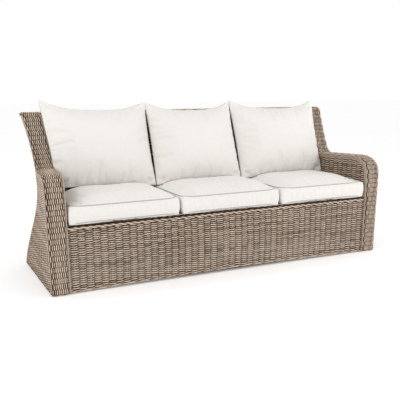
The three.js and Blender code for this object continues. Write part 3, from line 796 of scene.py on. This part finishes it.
# Rear panel
def makeRear():
    top = shell["backHeight"] - shell["underBand"]
    width = 2 * rearHalf(np.array(shell["waistHeight"]))
    panel = {
        "columns": columnsFor(width),
        "rows": rowsFor(top - shell["hemHeight"]),
        "steps": 4,
        "seed": 23,
        "strips": 3,
    }
    deep = shell["weave"] / 2

    def rowAt(share, across):
        z = mix(shell["hemHeight"] + archAt(across), top, share)
        y = rearEdge(z) - deep
        # woven from right to left, so that its outside is behind
        return y, z, deep - sideHalf(y, z)

    weaveAcross("rearWeave", panel, rowAt, "rear_panel")


band = {
    "innerEdge": 0.006,  # radius of the rounded edge
    "outerEdge": 0.011,
    "innerReturn": 0.010,  # how far the weave goes on behind the edge
    "outerReturn": 0.003,
    "steps": 6,
    "pitch": 0.030,
    "row": 0.0060,
    "panelRoom": 0.001,
}


# Side panels, cut to the arm-and-wing line at the front and to the rear edge
def lineUnder(deep):
    return np.column_stack(onSideLine(np.linspace(0, sideRun[-1], 600), deep))


def frontOfPanel(z, line):
    # where a level line meets the inside of the band: below the arm on the post, above it on the wing
    armRow = armLine["armHeight"] - armLine["armDrop"] - shell["underBand"]
    post = line[line[:, 0] < armLine["armFrontY"]]
    wing = line[line[:, 0] > armLine["armRearY"]]
    wing = wing[: np.argmax(wing[:, 1]) + 1]
    onPost = np.interp(z, post[:, 1], post[:, 0])
    onWing = np.interp(z, wing[:, 1], wing[:, 0])
    return np.where(z < armRow, onPost, onWing)


def topOfPanel(y, line):
    return np.interp(y, line[:, 0], line[:, 1])


def weaveCut(name, panel, xAt, rearAt, bottomAt, replaced, paint="weave", stake="stake"):
    # a panel cut to the line: rearAt is its rear edge, and bottomAt the row from which a stake stands
    low, top, step, line = panel["low"], panel["top"], panel["step"], panel["line"]

    def height(v):
        return mix(low, top, (v + 0.5) / panel["rows"])

    def place(u, v):
        y = np.maximum(u * step, 0.0)
        z = height(v)
        return stacked(xAt(y, z), y, z)

    def limit(v):
        z = height(v)
        return frontOfPanel(z, line) / step, rearAt(z) / step

    def stakeLimit(u):
        y = u * step
        ceiling = (topOfPanel(y, line) - low) / (top - low) * panel["rows"] - 0.5
        return np.minimum(bottomAt(y), ceiling), ceiling

    weavePanel(name, panel, place, replaced, limit, stakeLimit, paint, stake)


def makeSide(name, sign):
    top = shell["backHeight"] - shell["underBand"]
    low = shell["hemHeight"]
    columns = columnsFor(shell["depth"], band["pitch"])
    panel = {
        "pitch": band["pitch"],
        "columns": columns,
        "rows": rowsFor(top - low),
        "low": low,
        "top": top,
        "step": shell["depth"] / columns,
        "line": lineUnder(band["outerEdge"] + shell["weave"] / 2),
        "rise": 0.0030,
        "steps": 6,
        "facing": sign,
        "seed": 37 + sign,
    }
    deep = shell["weave"] / 2 + band["panelRoom"]

    def xAt(y, z):
        return sign * (sideHalf(y, z) - deep)

    def rearAt(z):
        return rearEdge(z) - deep

    def bottomAt(y):
        # behind the waist a stake stands only where the rear edge has come out far enough
        swell = np.clip((y - shell["rearWaistY"]) / (shell["depth"] - shell["rearWaistY"]), 0, 1)
        edge = mix(shell["waistHeight"], shell["backHeight"], swell ** 0.5)
        floorRow = (edge - low) / (top - low) * panel["rows"] - 0.5
        return np.where(y > shell["rearWaistY"], floorRow, 0.0)

    weaveCut(f"sideWeave_{name}", panel, xAt, rearAt, bottomAt, f"side_panel_{name}", "side", "side")


# Inner arm panels, from the deck up to the band
def makeArmPanel(name, sign):
    top = shell["backHeight"] - shell["topRoll"]
    low = shell["seatHeight"] - shell["deckDrop"] - shell["weave"]
    columns = columnsFor(shell["backHeadY"])
    panel = {
        "columns": columns,
        "rows": rowsFor(top - low),
        "low": low,
        "top": top,
        "step": shell["backHeadY"] / columns,
        "line": lineUnder(shell["underBand"] + band["panelRoom"]),
        "steps": 6,
        "facing": -sign,
        "seed": 53 + sign,
    }
    deep = shell["weave"] / 2

    def xAt(y, z):
        return sign * (innerHalf(y, z) + deep)

    def bottomAt(y):
        lean = (y - shell["backFootY"]) / (shell["backHeadY"] - shell["backFootY"])
        return (top - shell["seatHeight"]) * np.clip(lean, 0, 1) / (top - low) * panel["rows"]

    weaveCut(f"armWeave_{name}", panel, xAt, backPanelY, bottomAt, f"arm_panel_{name}")


# Arm bands: strands along the line, wrapped round both edges of the band
def makeBand(name, sign):
    deep = shell["weave"] / 2
    innerEdge = band["innerEdge"]
    outerEdge = band["outerEdge"]
    edges = innerEdge + outerEdge
    inward = shell["bandProud"] - deep
    faceWide = shell["bandTopWidth"] - 2 * inward - edges
    profile = [(0.0, 0.0, deep + innerEdge + band["innerReturn"])]
    for turn in np.linspace(0, math.pi / 2, 6):
        profile.append((innerEdge * (1 - math.cos(turn)), 0.0, deep + innerEdge * (1 - math.sin(turn))))
    for turn in np.linspace(0, math.pi / 2, 8):
        across = innerEdge + outerEdge * math.sin(turn)
        profile.append((across, 1.0, deep + outerEdge * (1 - math.cos(turn))))
    profile.append((edges, 1.0, deep + outerEdge + band["outerReturn"]))
    offsets, shares, deeps = np.array(profile).T
    flatX = offsets + shares * faceWide
    lengths = np.concatenate([[0], np.cumsum(np.hypot(np.diff(flatX), np.diff(deeps)))])
    rows = rowsFor(lengths[-1], band["row"])
    panel = {
        "pitch": band["pitch"],
        "columns": columnsFor(sideRun[-1], band["pitch"]),
        "rows": rows,
        "row": lengths[-1] / rows,
        "steps": band["steps"],
        "facing": -sign,
        "seed": 71 + sign,
    }

    def place(u, v):
        run = u / panel["columns"] * sideRun[-1]
        girth = (v + 0.5) / rows * lengths[-1]
        depth = np.interp(girth, lengths, deeps)
        offset = np.interp(girth, lengths, offsets)
        share = np.interp(girth, lengths, shares)
        y, z = onSideLine(run, depth)
        faceY, faceZ = onSideLine(run, 0.0)
        outer = sideHalf(faceY, faceZ) + inward
        inner = innerHalf(faceY, faceZ) - inward
        x = inner + offset + share * (outer - inner - edges)
        return stacked(sign * x, y, z)

    weavePanel(f"bandWeave_{name}", panel, place, f"arm_band_{name}")


# Inner back panel in painted shade, and seat deck, of wider strand
wideRow = 0.008


def makeBack():
    low = shell["seatHeight"] - shell["deckDrop"] - shell["weave"]
    top = shell["backHeight"] - shell["topRoll"]
    width = 2 * innerHalf(np.array(shell["backFootY"]), np.array(shell["seatHeight"]))
    rows = rowsFor(top - low, wideRow)
    panel = {"columns": columnsFor(width), "rows": rows, "row": wideRow, "steps": 4, "seed": 83}
    deep = shell["weave"] / 2

    def rowAt(share, across):
        z = mix(low, top, share)
        y = backPanelY(z)
        return y + deep, z, innerHalf(y, z)

    weaveAcross("backWeave", panel, rowAt, "back_panel", "shade", "shade")


def makeDeck():
    z = shell["seatHeight"] - shell["deckDrop"] - shell["weave"] / 2
    front = shell["skirtSetBack"] + shell["lipRun"]
    rear = backPanelY(z)
    width = 2 * innerHalf(np.array(front), np.array(z))
    rows = rowsFor(rear - front, wideRow)
    panel = {"columns": columnsFor(width), "rows": rows, "row": wideRow, "steps": 4, "seed": 97}

    def rowAt(share, across):
        y = mix(front, rear, share)
        return y, z, innerHalf(y, z)

    weaveAcross("deckWeave", panel, rowAt, "seat_deck")


# Long edges along X: the back's top roll and the lip over the front rail
def alongProfile(name, panel, outline, half, replaced):
    points = np.array(outline)
    lengths = runsOf(points)
    panel["rows"] = rowsFor(lengths[-1])
    panel["columns"] = columnsFor(2 * half)

    def rowAt(share, across):
        girth = share * lengths[-1]
        return np.interp(girth, lengths, points[:, 0]), np.interp(girth, lengths, points[:, 1]), half

    weaveAcross(name, panel, rowAt, replaced)


def roundCorner(corner, radius, start, end, steps=5):
    turns = np.linspace(start, end, steps)
    return [(corner[0] + radius * math.cos(a), corner[1] + radius * math.sin(a)) for a in turns]


roll = {"radius": 0.012, "frontOverlap": 0.002, "lipSetBack": 0.012}


def makeTopRoll():
    top = shell["backHeight"]
    deep = shell["weave"] / 2
    low = top - shell["topRoll"]
    slope = (shell["wingTopY"] - armLine["armFilletY"]) / (top - armLine["armFilletHeight"])
    radius = roll["radius"]
    front = shell["wingTopY"] + deep + shell["bandProud"]
    outline = [(front - shell["topRoll"] * slope, low)]
    frontCorner = (front + radius - roll["frontOverlap"], top - deep - radius)
    outline += roundCorner(frontCorner, radius, math.pi, math.pi / 2)
    outline += roundCorner((shell["depth"] - deep - radius, top - deep - radius), radius, math.pi / 2, 0)
    half = float(innerHalf(np.array(shell["wingTopY"]), np.array(low)))
    alongProfile("topWeave", {"steps": 6, "seed": 101}, outline, half, "top_roll")


def makeLip():
    deep = shell["weave"] / 2
    top = shell["seatHeight"] - deep
    rear = shell["skirtSetBack"] + shell["lipRun"]
    outline = [(shell["skirtSetBack"] + roll["lipSetBack"], top), (rear, top)]
    half = float(innerHalf(np.array(0.0), np.array(top)))
    alongProfile("lipWeave", {"steps": 4, "seed": 103}, outline, half, "front_lip")


# Ropes: round strands twisted about a path
def twistAlong(name, path, side, rope, paint="cord", body="sofa_frame", slot="border_cord", replaced=()):
    points = np.array(path)
    lengths = runsOf(points)
    tangents = unitRows(np.gradient(points, lengths, axis=0))
    steps = max(4, round(lengths[-1] / rope["turn"] * rope["stepsPerTurn"]))

    def lay(step, strand, across, off):
        run = step / steps * lengths[-1]
        centre = np.column_stack([np.interp(run, lengths, points[:, k]) for k in range(3)])
        along = unitRows(np.column_stack([np.interp(run, lengths, tangents[:, k]) for k in range(3)]))
        first = unitRows(np.array(side) - along * (along @ np.array(side))[:, None])
        second = np.cross(along, first)
        angle = math.tau * (run / rope["turn"] + strand / rope["count"])
        swing = first * np.cos(angle)[:, None] + second * np.sin(angle)[:, None]
        centre = centre + rope["offset"] * swing
        ring = rope["radius"] * (first * across[:, None] + second * off[:, None])
        # the last value is painted shade on the part of each twist turned away from the front, scaled by
        # the rope's shade
        return centre + ring, run, rope.get("shade", 0) * (1 - rope.get("front", 1) * np.sin(angle)) / 2

    mesh = layStrands(name, steps, rope["count"], rope["sides"], lay)
    return addPiece(name, mesh, paint, body, slot, *replaced)


borderRope = {"radius": 0.0023, "offset": 0.0019, "turn": 0.034, "stepsPerTurn": 9, "count": 2, "sides": 6}
lipRope = {
    "radius": 0.0040,
    "offset": 0.0034,
    "turn": 0.082,
    "stepsPerTurn": 14,
    "count": 2,
    "sides": 8,
    "shade": 0.9,
}
hemRope = dict(lipRope, radius=0.0030, offset=0.0026, stepsPerTurn=12, sides=6)
cornerRope = {"radius": 0.0018, "offset": 0.0014, "turn": 0.030, "stepsPerTurn": 9, "count": 2, "sides": 5}
cords = {
    "deeps": (0.0045, 0.0135, 0.0225),  # of the three border cords, below the band's face
    "step": 0.006,
    "endRoom": 0.002,
    "clearance": 0.0005,
    "hemRise": 0.004,
    "hemSetIn": 0.004,
    "lipRise": 0.0065,
    "lipSetIn": 0.003,
    "cornerSetIn": 0.003,
    "endShare": 0.003,
    "footFront": 0.010,
    "footRear": 0.006,
    "headRoom": 0.012,
}


def makeBorderCords(name, sign):
    radius = shell["cordDiameter"] / 2
    for number, deep in enumerate(cords["deeps"]):
        start = armLine["curl"] if number == 0 else shell["seatHeight"]
        runs = np.arange(start, sideRun[-1] - cords["endRoom"], cords["step"])
        y, z = onSideLine(runs, deep)
        faceY, faceZ = onSideLine(runs, 0.0)
        x = innerHalf(faceY, faceZ) - shell["bandProud"] - radius - cords["clearance"]
        path = stacked(sign * x, y, z)
        label = f"borderCord_{name}_{number + 1}"
        replaced = (f"border_cord_{name}",) if number == 0 else ()
        twistAlong(label, path, (1.0, 0.0, 0.0), borderRope, replaced=replaced)


def makeHems():
    up = (0, 0, 1)
    setIn = cords["hemSetIn"]
    low = shell["hemHeight"] + cords["hemRise"]
    y = shell["skirtSetBack"] + setIn
    share = np.linspace(cords["endShare"], 1 - cords["endShare"], 60)
    z = low + archAt(share)
    half = innerHalf(y, z)
    twistAlong("skirtHem", stacked(mix(-half, half, share), y, z), up, hemRope, "weave")
    rear = rearEdge(z) - setIn
    half = sideHalf(rear, z) - setIn
    twistAlong("rearHem", stacked(mix(-half, half, share), rear, z), up, hemRope, "weave")
    lipZ = shell["seatHeight"] - shell["lipHeight"] + cords["lipRise"]
    lipHalf = innerHalf(np.array(0.0), np.array(lipZ))
    lipPath = stacked(mix(-lipHalf, lipHalf, share), shell["skirtSetBack"] + cords["lipSetIn"], lipZ)
    twistAlong("lipBraid", lipPath, up, lipRope, "weave")
    for name, sign in sides:
        z = np.full(40, low)
        y = np.linspace(cords["footFront"], shell["rearFootY"] - cords["footRear"], 40)
        path = stacked(sign * (sideHalf(y, z) - setIn), y, z)
        twistAlong(f"sideHem_{name}", path, up, hemRope, "weave")
        z = np.linspace(shell["hemHeight"], shell["backHeight"] - cords["headRoom"], 80)
        y = rearEdge(z) - cords["cornerSetIn"]
        path = stacked(sign * (sideHalf(y, z) - cords["cornerSetIn"]), y, z)
        twistAlong(f"cornerCord_{name}", path, (1, 0, 0), cornerRope, "weave")


sides = (("left", -1), ("right", 1))
makeSkirt()
makeLip()
print("front woven")
for sideName, sideSign in sides:
    makeSide(sideName, sideSign)
    makeArmPanel(sideName, sideSign)
    makeBand(sideName, sideSign)
    makeBorderCords(sideName, sideSign)
print("sides woven")
makeRear()
makeBack()
makeDeck()
makeTopRoll()
makeHems()
print("back woven")


# Cloth: a cushion is remeshed, blown up a little between its held seams, capped and smoothed
cloth = {
    "voxel": 0.0075,
    "frames": 20,
    "pressure": 4.0,
    "quality": 4,
    "stretchShare": 0.035,  # how much wider the cloth is cut than its cushion
    "stiffness": 12.0,
    "bending": 0.25,
    "heldRoom": 0.007,  # points this close to a seam stay
}


def applied(obj):
    graph = bpy.context.evaluated_depsgraph_get()
    return bpy.data.meshes.new_from_object(obj.evaluated_get(graph))


def withModifier(name, mesh, kind, settings):
    holder = linked(name, mesh)
    modifier = holder.modifiers.new("shape", kind)
    for key, value in settings.items():
        setattr(modifier, key, value)
    result = applied(holder)
    bpy.data.objects.remove(holder)
    return result


def blown(name, mesh, seams):
    body = linked(name, mesh)
    start = readPoints(mesh)
    nearest = np.full(len(start), np.inf)
    for place in seams:
        nearest = np.minimum(nearest, np.linalg.norm(start - place, axis=1))
    held = body.vertex_groups.new(name="held")
    held.add(np.flatnonzero(nearest < cloth["heldRoom"]).tolist(), 1.0, "REPLACE")
    modifier = body.modifiers.new("cloth", "CLOTH")
    rules = modifier.settings
    rules.vertex_group_mass = "held"
    rules.use_pressure = True
    rules.uniform_pressure_force = cloth["pressure"]
    rules.quality = cloth["quality"]
    rules.tension_stiffness = cloth["stiffness"]
    rules.compression_stiffness = cloth["stiffness"]
    rules.bending_stiffness = cloth["bending"]
    rules.shrink_min = -cloth["stretchShare"]
    rules.effector_weights.gravity = 0
    modifier.collision_settings.use_collision = False
    modifier.point_cache.frame_start = 1
    modifier.point_cache.frame_end = cloth["frames"]
    for frameNumber in range(1, cloth["frames"] + 1):
        scene.frame_set(frameNumber)
    result = applied(body)
    scene.frame_set(1)
    bpy.data.objects.remove(body)
    return result


def madeOfCloth(name, mesh, seams, cap, clamp):
    # clamp keeps the points clear of what the cushion touches
    mesh = withModifier(name, mesh, "REMESH", {"mode": "VOXEL", "voxel_size": cloth["voxel"]})
    start = readPoints(mesh)
    mesh = blown(name, mesh, seams)
    move = readPoints(mesh) - start
    far = np.linalg.norm(move, axis=1)
    move *= np.minimum(1, cap / np.maximum(far, cap))[:, None]
    writePoints(mesh, clamp(start + move))
    mesh = withModifier(name, mesh, "SUBSURF", {"levels": 1, "render_levels": 1})
    writePoints(mesh, clamp(readPoints(mesh)))
    mesh.shade_smooth()
    mesh.update()
    return mesh


def treeOf(mesh):
    points = readPoints(mesh)
    return BVHTree.FromPolygons(points.tolist(), [tuple(face.vertices) for face in mesh.polygons])


seamRope = {"offset": 0.0, "turn": 0.05, "stepsPerTurn": 12, "count": 1, "sides": 8}


def seamAlong(name, path, tree, radius, proud, paint, body):
    # the seam is laid on the cushion's surface, a little proud of it
    places = []
    for point in path:
        place, normal, _, _ = tree.find_nearest(Vector(point))
        places.append(place + normal * proud)
    places = np.array(places)
    places = np.vstack([places, places[:2]])
    for _ in range(2):
        places[1:-1] = (places[:-2] + 2 * places[1:-1] + places[2:]) / 4
    rope = dict(seamRope, radius=radius)
    places[:, 1] += shell["depth"] / 2
    twistAlong(name, places, (0.3, 0.2, 1.0), rope, paint, body, "cushion_cloth")


def squareRound(corner, count):
    # the outline of a square from -1 to 1 with rounded corners
    turns = np.linspace(0, math.tau, count, endpoint=False)
    power = 2 / corner
    x = np.cos(turns)
    y = np.sin(turns)
    size = (np.abs(x) ** power + np.abs(y) ** power) ** (1 / power)
    return x / size, y / size


# Seat cushions
seat = {
    "thickness": 0.101,
    "crown": 0.024,
    "frontY": 0.002,
    "sideGap": 0.013,
    "joint": 0.004,
    "rearGap": 0.003,
    "drawIn": 0.007,
    "cornerShare": 0.045,
    "belly": 0.005,
    "weldGap": 0.0004,
    "cap": 0.022,
    "proud": 0.006,  # how far the front may swell past the frame's cushion
    "pipe": 0.0028,
    "lowSeam": -0.76,
    "cornerPower": 0.16,
    "cuts": 23,
    "rimSteps": 160,
}
deckHeight = shell["seatHeight"] - shell["deckDrop"]
cushionFoot = shell["seatHeight"] + seat["weldGap"]
cushionTop = deckHeight + seat["weldGap"] + seat["thickness"]
cushionRearY = backPanelY(deckHeight) - seat["rearGap"]
jointHalf = float(innerHalf(np.array(0.0), np.array(shell["seatHeight"]))) / 3
middleLine = np.array([0.0, shell["depth"] / 2, 0.0])


def seatEdges(name, y):
    side = innerHalf(y, np.array(cushionTop)) - seat["sideGap"]
    gap = seat["joint"] / 2
    if name == "left":
        return -side, np.full_like(side, -jointHalf - gap)
    if name == "middle":
        return np.full_like(side, -jointHalf + gap), np.full_like(side, jointHalf - gap)
    return np.full_like(side, jointHalf + gap), side


def seatPlace(name, u, v, w):
    rounding = seat["cornerShare"] / 2
    along = v * (1 - rounding * u * u)
    across = u * (1 - rounding * v * v)
    y = mix(seat["frontY"], cushionRearY, (along + 1) / 2)
    left, right = seatEdges(name, y)
    x = mix(left, right, (across + 1) / 2)
    swell = 1 - w * w
    x = x + u * (seat["belly"] * (swell - 1) - seat["drawIn"] * (1 - v * v) * np.abs(u))
    y = y + v * (seat["belly"] * (swell - 1) - seat["drawIn"] * (1 - u * u) * np.abs(v))
    crown = np.where(w > 0, seat["crown"] * (1 - u**4) * (1 - v**4) * w, 0)
    z = mix(cushionFoot, cushionTop, (w + 1) / 2) + crown
    return stacked(x, y, z) - middleLine


def gridMesh(name, cuts, place):
    bm = bmesh.new()
    bmesh.ops.create_cube(bm, size=2)
    bmesh.ops.subdivide_edges(bm, edges=bm.edges, cuts=cuts, use_grid_fill=True)
    mesh = meshOf(name, bm)
    writePoints(mesh, place(*readPoints(mesh).T))
    mesh.update()
    return mesh


seatTrees = []


def makeSeatCushion(name):
    mesh = gridMesh(f"seatCushion_{name}", seat["cuts"], lambda u, v, w: seatPlace(name, u, v, w))
    u, v = squareRound(seat["cornerPower"], seat["rimSteps"])
    rims = {
        rim: seatPlace(name, u, v, np.full_like(u, level))
        for rim, level in (("upper", 1.0), ("lower", seat["lowSeam"]))
    }

    def clamp(points):
        x, y, z = points.T
        left, right = seatEdges(name, y + shell["depth"] / 2)
        x = np.clip(x, left, right)
        front = seat["frontY"] - seat["proud"]
        y = np.clip(y, front - shell["depth"] / 2, cushionRearY - shell["depth"] / 2)
        return np.column_stack([x, y, np.maximum(z, cushionFoot)])

    mesh = madeOfCloth(mesh.name, mesh, np.vstack(list(rims.values())), seat["cap"], clamp)
    piece = addPiece(mesh.name, mesh, "cloth", f"seat_{name}", "cushion_cloth", f"seat_cushion_{name}")
    piece.name = f"seatCushion_{name}"
    tree = treeOf(mesh)
    seatTrees.append(tree)
    for rim, path in rims.items():
        label = f"seatPiping_{name}_{rim}"
        seamAlong(label, path, tree, seat["pipe"], seat["pipe"] * 0.5, "piping", f"seat_{name}")


# Back cushions
pillow = {
    "footRoom": 0.092,
    "headSetBack": 0.190,
    "rise": 0.500,
    "frontBelly": 0.098,
    "backBelly": 0.086,
    "edge": 0.016,
    "sagPower": 3,
    "bottomRise": 0.016,
    "drawIn": 0.007,
    "fullness": 0.6,
    "cap": 0.024,
    "seam": 0.0013,
    "creaseCount": 18,
    "creaseDeep": 0.007,
    "earDeep": 0.014,
    "earRoom": 0.030,
    "room": 0.0012,  # how far a side may swell past its seam
    "seamProud": 0.0002,
    "startDrop": 0.006,  # how far below the frame's cushion it starts; the seats then lift it
    "cornerPower": 0.05,
    "cuts": 63,
    "rimSteps": 260,
    "sideRoom": 0.004,
    "backRoom": 0.004,
    "earHeight": 0.90,  # from here up the corners may stand out
    "earRise": 0.05,
    "seatReach": 0.07,
    "seatRoom": 0.0015,
    "castFrom": 0.3,
}
# edges as shares of the half width between the sides, and how far corners stand up and the top sags
pillowShares = {
    "left": {"foot": (-0.995, -0.3390), "head": (-1.003, -0.3270)},
    "middle": {"foot": (-0.3350, 0.3030), "head": (-0.3230, 0.2910)},
    "right": {"foot": (0.3070, 0.998), "head": (0.2950, 0.984)},
}
pillowForms = {
    "left": {"lift": (0.034, 0.012), "footLift": (0.024, 0.0), "sag": 0.062, "seed": 5},
    "middle": {"lift": (0.010, 0.004), "footLift": (0.0, 0.0), "sag": 0.060, "seed": 9},
    "right": {"lift": (0.016, 0.004), "footLift": (0.0, 0.014), "sag": 0.060, "seed": 14},
}
pillowFootY = shell["backFootY"] - pillow["footRoom"]
pillowFootHeight = cushionTop + seat["crown"] + pillow["edge"]
pillowLine = Vector((pillow["headSetBack"], pillow["rise"]))


def crease(u, v, start, end, wide, deep):
    # a soft groove from one place of the cushion's face to another
    run = np.array(end) - np.array(start)
    length = np.linalg.norm(run)
    run = run / length
    along = ((u - start[0]) * run[0] + (v - start[1]) * run[1]) / length
    off = (v - start[1]) * run[0] - (u - start[0]) * run[1]
    fade = np.clip(along * 6, 0, 1) * np.clip((1 - along) * 1.6, 0, 1)
    return -deep * fade * np.exp(-((off / wide) ** 2))


def creasesOf(form, u, v, face):
    rng = np.random.default_rng(form["seed"])
    total = np.zeros_like(u)
    for _ in range(pillow["creaseCount"]):
        at = rng.uniform(-0.9, 0.9)
        edge = rng.integers(4)
        length = rng.uniform(0.18, 0.42)
        lean = rng.uniform(-0.5, 0.5) * length
        deep = pillow["creaseDeep"] * rng.uniform(0.4, 1.0)
        wide = rng.uniform(0.025, 0.05)
        start = [(at, 0.99), (at, -0.99), (0.99, at), (-0.99, at)][edge]
        inward = [(lean, -length), (lean, length), (-length, lean), (length, lean)][edge]
        end = (start[0] + inward[0], start[1] + inward[1])
        total += crease(u, v, start, end, wide, deep)
    for sideways in (-1, 1):
        for corner in (-1, 1):
            start = (0.93 * sideways, 0.93 * corner)
            end = (0.62 * sideways, (0.60 if corner > 0 else 0.75) * corner)
            total += crease(u, v, start, end, 0.05, pillow["earDeep"])
    return total * (face < 0)


def pillowPlace(name, u, face, v):
    share = (v + 1) / 2
    form = pillowForms[name]
    lean = pillowLine.normalized()
    left, right = pillowEdges(name, share)
    x = mix(left, right, (u + 1) / 2) - u * pillow["drawIn"] * (1 - v * v)
    sag = form["sag"] * (1 - np.abs(u) ** pillow["sagPower"])
    pull = np.where(v > 0, -sag, pillow["bottomRise"] * (1 - u * u)) * v * v
    lift = mix(*form["lift"], (u + 1) / 2) * share + mix(*form["footLift"], (u + 1) / 2) * (1 - share)
    height = pillowLine.length * share + pull + lift
    belly = np.where(face < 0, pillow["frontBelly"], pillow["backBelly"])
    full = np.maximum((1 - u * u) * (1 - v * v), 0) ** pillow["fullness"]
    out = face * (pillow["edge"] / 2 + belly * full + creasesOf(form, u, v, face))
    y = pillowFootY + height * lean.x + out * lean.y
    z = pillowFootHeight + height * lean.y - out * lean.x
    return stacked(x, y, z) - middleLine


def pillowEdges(name, share):
    headY = pillowFootY + pillow["headSetBack"]
    footHalf = float(innerHalf(np.array(pillowFootY), np.array(pillowFootHeight)))
    headHalf = float(innerHalf(np.array(headY), np.array(shell["backHeight"])))
    foot, head = pillowShares[name]["foot"], pillowShares[name]["head"]
    left = mix(foot[0] * footHalf, head[0] * headHalf, share)
    return left, mix(foot[1] * footHalf, head[1] * headHalf, share)


def makeBackCushion(name):
    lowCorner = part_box(f"back_cushion_{name}")[0]
    label = f"backCushion_{name}"
    mesh = gridMesh(label, pillow["cuts"], lambda u, face, v: pillowPlace(name, u, face, v))
    drop = lowCorner.z - readPoints(mesh)[:, 2].min() - pillow["startDrop"]
    points = readPoints(mesh)
    points[:, 2] += drop
    writePoints(mesh, points)
    u, v = squareRound(pillow["cornerPower"], pillow["rimSteps"])
    rim = pillowPlace(name, u, np.zeros_like(u), v) + np.array([0, 0, drop])

    def clamp(points):
        x, y, z = points.T
        # over the wings the corners may stand out a little
        ear = pillow["earRoom"] * np.clip((z - pillow["earHeight"]) / pillow["earRise"], 0, 1)
        side = innerHalf(y + shell["depth"] / 2, z) - pillow["sideRoom"] + ear
        left, right = pillowEdges(name, np.clip((z - pillowFootHeight) / pillow["rise"], 0, 1))
        low = np.maximum(left - pillow["room"], -side)
        x = np.clip(x, low, np.minimum(right + pillow["room"], side))
        y = np.minimum(y, backPanelY(z) - shell["depth"] / 2 - pillow["backRoom"])
        z = z.copy()
        for index in np.flatnonzero(z < cushionTop + pillow["seatReach"]):
            start = Vector((x[index], y[index], cushionTop + pillow["castFrom"]))
            for tree in seatTrees:
                hit = tree.ray_cast(start, Vector((0, 0, -1)))[0]
                if hit:
                    z[index] = max(z[index], hit.z + pillow["seatRoom"])
        return np.column_stack([x, y, z])

    mesh = madeOfCloth(mesh.name, mesh, rim, pillow["cap"], clamp)
    piece = addPiece(mesh.name, mesh, "cloth", f"back_{name}", "cushion_cloth", f"back_cushion_{name}")
    piece.name = label
    tree = treeOf(mesh)
    seamAlong(f"backSeam_{name}", rim, tree, pillow["seam"], pillow["seamProud"], "piping", f"back_{name}")


cushionNames = ("left", "middle", "right")
for cushionName in cushionNames:
    makeSeatCushion(cushionName)
print("seat cushions made")
for cushionName in cushionNames:
    makeBackCushion(cushionName)
print("back cushions made")


# The frame's own nodes keep their shape and get their finish
def dressNodes():
    for node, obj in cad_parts.items():
        if obj.hide_render:
            continue
        paint = "tube"
        if node.endswith("_glide"):
            paint = "glide"
        elif node.startswith("seat_core"):
            paint = "foam"
        obj.data.materials.clear()
        obj.data.materials.append(paints[paint])


dressNodes()
bpy.context.view_layer.update()
